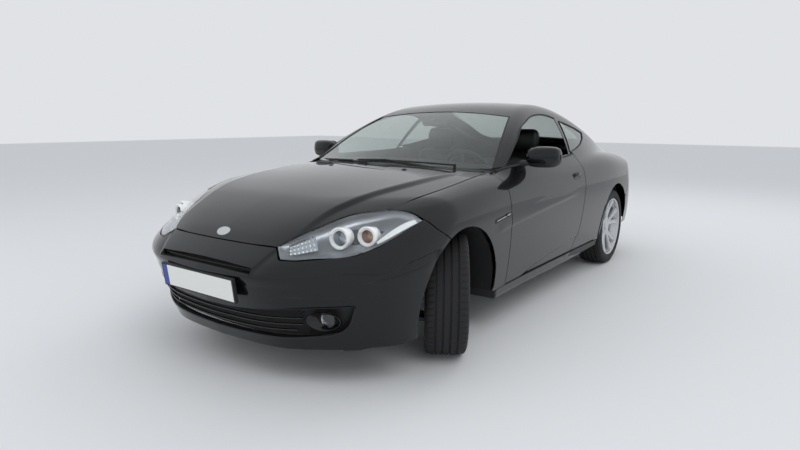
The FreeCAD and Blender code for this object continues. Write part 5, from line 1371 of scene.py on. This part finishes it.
def pad_grid(profile, half, bolster, way):
    """Row i is the rounded profile at one y, shrunk towards its middle at both ends, with bolsters near the
    edges.

    The bolster height follows exp(-((|y| - 0.78 half) / (0.16 half)) ** 2), on the side that faces the
    sitter.
    """
    loop = cut_corners(profile, 3)
    middle = loop.mean(axis=0)
    share = np.sin(np.linspace(-np.pi / 2, np.pi / 2, 41))
    size = np.maximum(1 - np.abs(share) ** 10, 0) ** 0.5
    rise = bolster * np.exp(-((np.abs(share) - 0.78) / 0.16) ** 2)
    way = np.array(way) / np.linalg.norm(way)
    facing = np.clip((loop - middle) @ way / 0.04, 0, 1)
    rows = middle + (loop - middle)[None] * size[:, None, None] + (rise[:, None]
                                                                   * facing[None])[..., None] * way
    rows = np.concatenate([rows, rows[:, :1]], axis=1)
    y = np.broadcast_to(share[:, None] * half, rows.shape[:2])
    return np.stack([rows[..., 0], y, rows[..., 1]], -1)


def puff(piece, cap, voxel=0.018):
    """Remeshes a closed shape, lets inner pressure swell it as cloth for 20 frames, and caps each point's
    way.
    """
    remesh = piece.modifiers.new("voxels", "REMESH")
    remesh.mode, remesh.voxel_size = "VOXEL", voxel
    bake(piece)
    start = np.empty(len(piece.data.vertices) * 3)
    piece.data.vertices.foreach_get("co", start)
    cloth = piece.modifiers.new("cloth", "CLOTH")
    cloth.settings.use_pressure, cloth.settings.uniform_pressure_force = True, 4.0
    cloth.settings.quality, cloth.settings.mass = 4, 0.3
    cloth.settings.tension_stiffness = cloth.settings.compression_stiffness = 15.0
    cloth.settings.effector_weights.gravity = 0.0
    for number in range(1, 21):
        bpy.context.scene.frame_set(number)
    bake(piece)
    bpy.context.scene.frame_set(1)
    moved = np.empty_like(start)
    piece.data.vertices.foreach_get("co", moved)
    way = (moved - start).reshape(-1, 3)
    length = np.linalg.norm(way, axis=1, keepdims=True)
    way *= np.minimum(1, cap / np.maximum(length, 1e-9))
    piece.data.vertices.foreach_set("co", (start.reshape(-1, 3) + way).ravel())
    piece.data.update()
    return float(length.max() * 1000)


def bake(piece):
    """Replaces the mesh by its modified form and drops the modifiers."""
    depsgraph = bpy.context.evaluated_depsgraph_get()
    made = bpy.data.meshes.new_from_object(piece.evaluated_get(depsgraph))
    piece.modifiers.clear()
    piece.data = made


def finish_pad(piece, node):
    piece.data.polygons.foreach_set("use_smooth", np.ones(len(piece.data.polygons), bool))
    smooth = piece.modifiers.new("smooth", "SUBSURF")
    smooth.levels = smooth.render_levels = 1
    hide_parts(node)


for name, profile, half, bolster, way, cap in SEAT_PADS + BENCH_PADS:
    grid = pad_grid(profile, half, bolster, way)
    if name.startswith("bench"):
        piece = mesh_piece(name, [grid], LEATHER, weld=0.0008)
        moved = puff(piece, cap)
        finish_pad(piece, "rear_seat")
    else:
        piece = mesh_piece(name + "_left", [grid + np.array((0, SEAT_Y, 0))], LEATHER, weld=0.0008)
        moved = puff(piece, cap)
        twin = piece.copy()
        twin.data = piece.data.copy()
        twin.name = name + "_right"
        bpy.context.scene.collection.objects.link(twin)
        twin.data.transform(Matrix.Diagonal((1, -1, 1, 1)))
        twin.data.flip_normals()
        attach(twin, "chassis")
        finish_pad(piece, "seat_left")
        finish_pad(twin, "seat_right")
    print(name, "moved up to", round(moved, 1), "mm before its cap of", cap * 1000)

# %% [markdown]
# The rest of the cabin: seat shells and posts, dashboard with an instrument hood, steering wheel and
# carpets.

# %% Dashboard, steering wheel, seat frames and carpets
def block(x0, x1, y0, y1, z0, z1):
    """The six faces of a box as grids."""
    ring = [(x0, y0), (x1, y0), (x1, y1), (x0, y1), (x0, y0)]
    sides = np.array([[(x, y, z) for z in (z0, z1)] for x, y in ring], float)
    caps = [np.array([[(x0, y0, z), (x0, y1, z)], [(x1, y0, z), (x1, y1, z)]], float) for z in (z0, z1)]
    return [sides] + caps


for side, s in (("left", 1), ("right", -1)):
    posts = [swept([(-0.470, SEAT_Y * s + d, 0.93), (-0.472, SEAT_Y * s + d, 0.985)],
                   oval(0.012, 0.012, 12)) for d in (-0.05, 0.05)]
    y0, y1 = sorted((SEAT_Y * s - 0.19, SEAT_Y * s + 0.19))
    metal = mesh_piece("seat_frame_" + side, posts + block(-0.29, 0.05, y0, y1, 0.236, 0.330), STEEL)
    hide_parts("seat_" + side)
    y0, y1 = sorted((0.125 * s, 0.725 * s))
    mat = mesh_piece("carpet_" + side, block(-0.86, 0.858, y0, y1, 0.2335, 0.2360), CARPET, smooth=False)
DASH = [(0.432, 0.66), (0.432, 0.80), (0.445, 0.85), (0.50, 0.892), (0.60, 0.902), (0.70, 0.898),
        (0.745, 0.890), (0.745, 0.80), (0.56, 0.66)]
loop = cut_corners(DASH, 2)
middle = loop.mean(axis=0)
across = np.linspace(-0.69, 0.69, 47)
size = np.maximum(1 - np.abs(across / 0.70) ** 24, 0.0) ** 0.5
rows = middle + (loop - middle)[None] * size[:, None, None]
hood_lift = 0.030 * np.exp(-((across - 0.36) / 0.13) ** 4)
rows[..., 1] += hood_lift[:, None] * np.clip((rows[..., 1] - middle[1]) / 0.08, 0,
                                             1) * np.clip((0.62 - rows[..., 0]) / 0.1, 0, 1)
rows = np.concatenate([rows, rows[:, :1]], axis=1)
y = np.broadcast_to(across[:, None], rows.shape[:2])
dash_grid = np.stack([rows[..., 0], y, rows[..., 1]], -1)
ends = [np.stack([dash_grid[i], np.broadcast_to(dash_grid[i].mean(axis=0), dash_grid[i].shape)])
        for i in (0, -1)]
dash = mesh_piece("dash_cover", [dash_grid] + ends, TRIM, weld=0.0008)
WHEEL_AT, COLUMN = np.array((0.36, 0.36, 0.83)), np.array((-math.cos(math.radians(25)), 0,
                                                           math.sin(math.radians(25))))
shroud = mesh_piece("column_shroud",
                    [turned([(-0.20, 0.0), (-0.20, 0.045), (-0.065, 0.036), (-0.060, 0.030),
                             (-0.060, 0.0)], WHEEL_AT, COLUMN, 40)], TRIM)
vents = []
for y in (-0.60, -0.10, 0.10, 0.60):
    for k in range(4):
        z = 0.792 + 0.012 * k
        vents.append(swept([(0.4305, y - 0.05, z), (0.4305, y + 0.05, z)], oval(0.006, 0.004, 8)))
vent = mesh_piece("dash_vents", vents, GLOSS_TRIM)
for piece in (dash, shroud, vent):
    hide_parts("dashboard")
tube = [(0.015 * math.sin(a), 0.175 + 0.015 * math.cos(a)) for a in np.linspace(0, 2 * math.pi, 17)]
rim = mesh_piece("steering_rim", [turned(tube, WHEEL_AT, COLUMN, 96)], LEATHER, "steering_wheel")
pad = mesh_piece("steering_pad",
                 [turned([(-0.022, 0.0), (-0.022, 0.060), (0.004, 0.064), (0.014, 0.052), (0.019, 0.030),
                          (0.020, 0.0)], WHEEL_AT, COLUMN, 64)], TRIM, "steering_wheel")
wheel_side = np.array((0.0, 1.0, 0.0))
wheel_up = np.cross(wheel_side, COLUMN)
wheel_up *= np.sign(wheel_up[2])
arms = []
for angle in (8, 172, 270):
    way = math.cos(math.radians(angle)) * wheel_side + math.sin(math.radians(angle)) * wheel_up
    path = [WHEEL_AT + way * r + COLUMN * lift for r, lift in ((0.045, -0.004), (0.09, -0.008),
                                                               (0.13, -0.007), (0.168, -0.001))]
    arms.append(swept(path, oval(0.034, 0.010, 16, 2.8), up=COLUMN, scale=[1.1, 1.0, 0.85, 0.8]))
arms = mesh_piece("steering_arms", arms, ALLOY, "steering_wheel")
stalk = mesh_piece("steering_column",
                   [turned([(-0.150, 0.0), (-0.150, 0.019), (-0.015, 0.019), (-0.015, 0.0)], WHEEL_AT,
                           COLUMN, 32)], STEEL, "steering_wheel")
for piece in (rim, pad, arms, stalk):
    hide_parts("steering_wheel")
print("cabin dressed")

# %% Tailpipe sleeve
TAILPIPE = np.array((-2.100, -0.330, 0.250))
sleeve = [(0.0, 0.0345), (0.0, 0.0385), (0.100, 0.0385), (0.108, 0.0375), (0.110, 0.0355), (0.108, 0.0345),
          (0.0, 0.0345)]
piece = mesh_piece("tailpipe_sleeve", [turned(sleeve, TAILPIPE, (-1.0, 0, 0), 48)], CHROME)
print("tailpipe sleeve:", len(piece.data.polygons), "faces")

# %% [markdown]
# Floor, light and camera. The floor and the world look pale to the camera, to gloss and through glass. They
# give the paint something bright to mirror, while the object itself is lit by soft lamps.


# %% Stage and camera
def seen_rays(tree):
    """One for camera, glossy and transmission rays, and zero for the diffuse rays that light the object."""
    path = add_node(tree, "ShaderNodeLightPath")
    first = add_node(tree, "ShaderNodeMath", {0: path.outputs["Is Camera Ray"],
                                              1: path.outputs["Is Glossy Ray"]}, operation="MAXIMUM")
    seen = add_node(tree, "ShaderNodeMath", {0: first.outputs[0], 1: path.outputs["Is Transmission Ray"]},
                    operation="MAXIMUM")
    return seen.outputs[0]


world = bpy.data.worlds.new("studio")
bpy.context.scene.world = world
world.use_nodes = True
sky = world.node_tree
seen = seen_rays(sky)
back = sky.nodes["Background"]
back.inputs["Color"].default_value = linear("#DFE2E6")
back.inputs["Strength"].default_value = 1.0
pale = add_node(sky, "ShaderNodeBackground", {"Color": linear("#E0E2E5"), "Strength": 1.0})
mix = add_node(sky, "ShaderNodeMixShader", {0: seen, 1: back.outputs[0], 2: pale.outputs[0]})
sky.links.new(mix.outputs[0], sky.nodes["World Output"].inputs["Surface"])

floor_mesh = bpy.data.meshes.new("floor")
floor_mesh.from_pydata([(-30, -30, 0), (30, -30, 0), (30, 30, 0), (-30, 30, 0)], [], [(0, 1, 2, 3)])
floor = bpy.data.objects.new("floor", floor_mesh)
bpy.context.scene.collection.objects.link(floor)
floor_mesh.materials.append(new_material("pale_floor_paint", "#DDDEDF", Roughness=0.9))

LAMPS = [("key", (3.5, 5.0, 6.0), 4.0, 130), ("fill", (6.0, -4.0, 4.0), 4.0, 70),
         ("back", (-5.0, 1.0, 5.5), 4.0, 80)]
for name, place, size, power in LAMPS:
    light = bpy.data.lights.new(name, "AREA")
    light.shape, light.size, light.energy = "SQUARE", size, power
    lamp = bpy.data.objects.new(name, light)
    lamp.location = place
    lamp.rotation_euler = (Vector((0, 0, 0.4)) - Vector(place)).to_track_quat("-Z", "Y").to_euler()
    lamp.visible_glossy = False
    bpy.context.scene.collection.objects.link(lamp)

CAMERA_AT = Vector((3.73178, 2.24525, 1.19017))
AHEAD = Vector((-0.79690, -0.57763, -0.17692))
RIGHT = Vector((-0.58744, 0.80926, 0.00381))
lens = bpy.data.cameras.new("photo_view")
lens.sensor_width, lens.lens = 36.0, 581.244 * 36.0 / 800
lens.clip_end = 100
camera = bpy.data.objects.new("photo_view", lens)
up = RIGHT.cross(AHEAD).normalized()
camera.matrix_world = Matrix.Translation(CAMERA_AT) @ Matrix((RIGHT.normalized(), up,
                                                              -AHEAD.normalized())).transposed().to_4x4()
bpy.context.scene.collection.objects.link(camera)
bpy.context.scene.camera = camera
bpy.context.scene.view_settings.view_transform = "Standard"
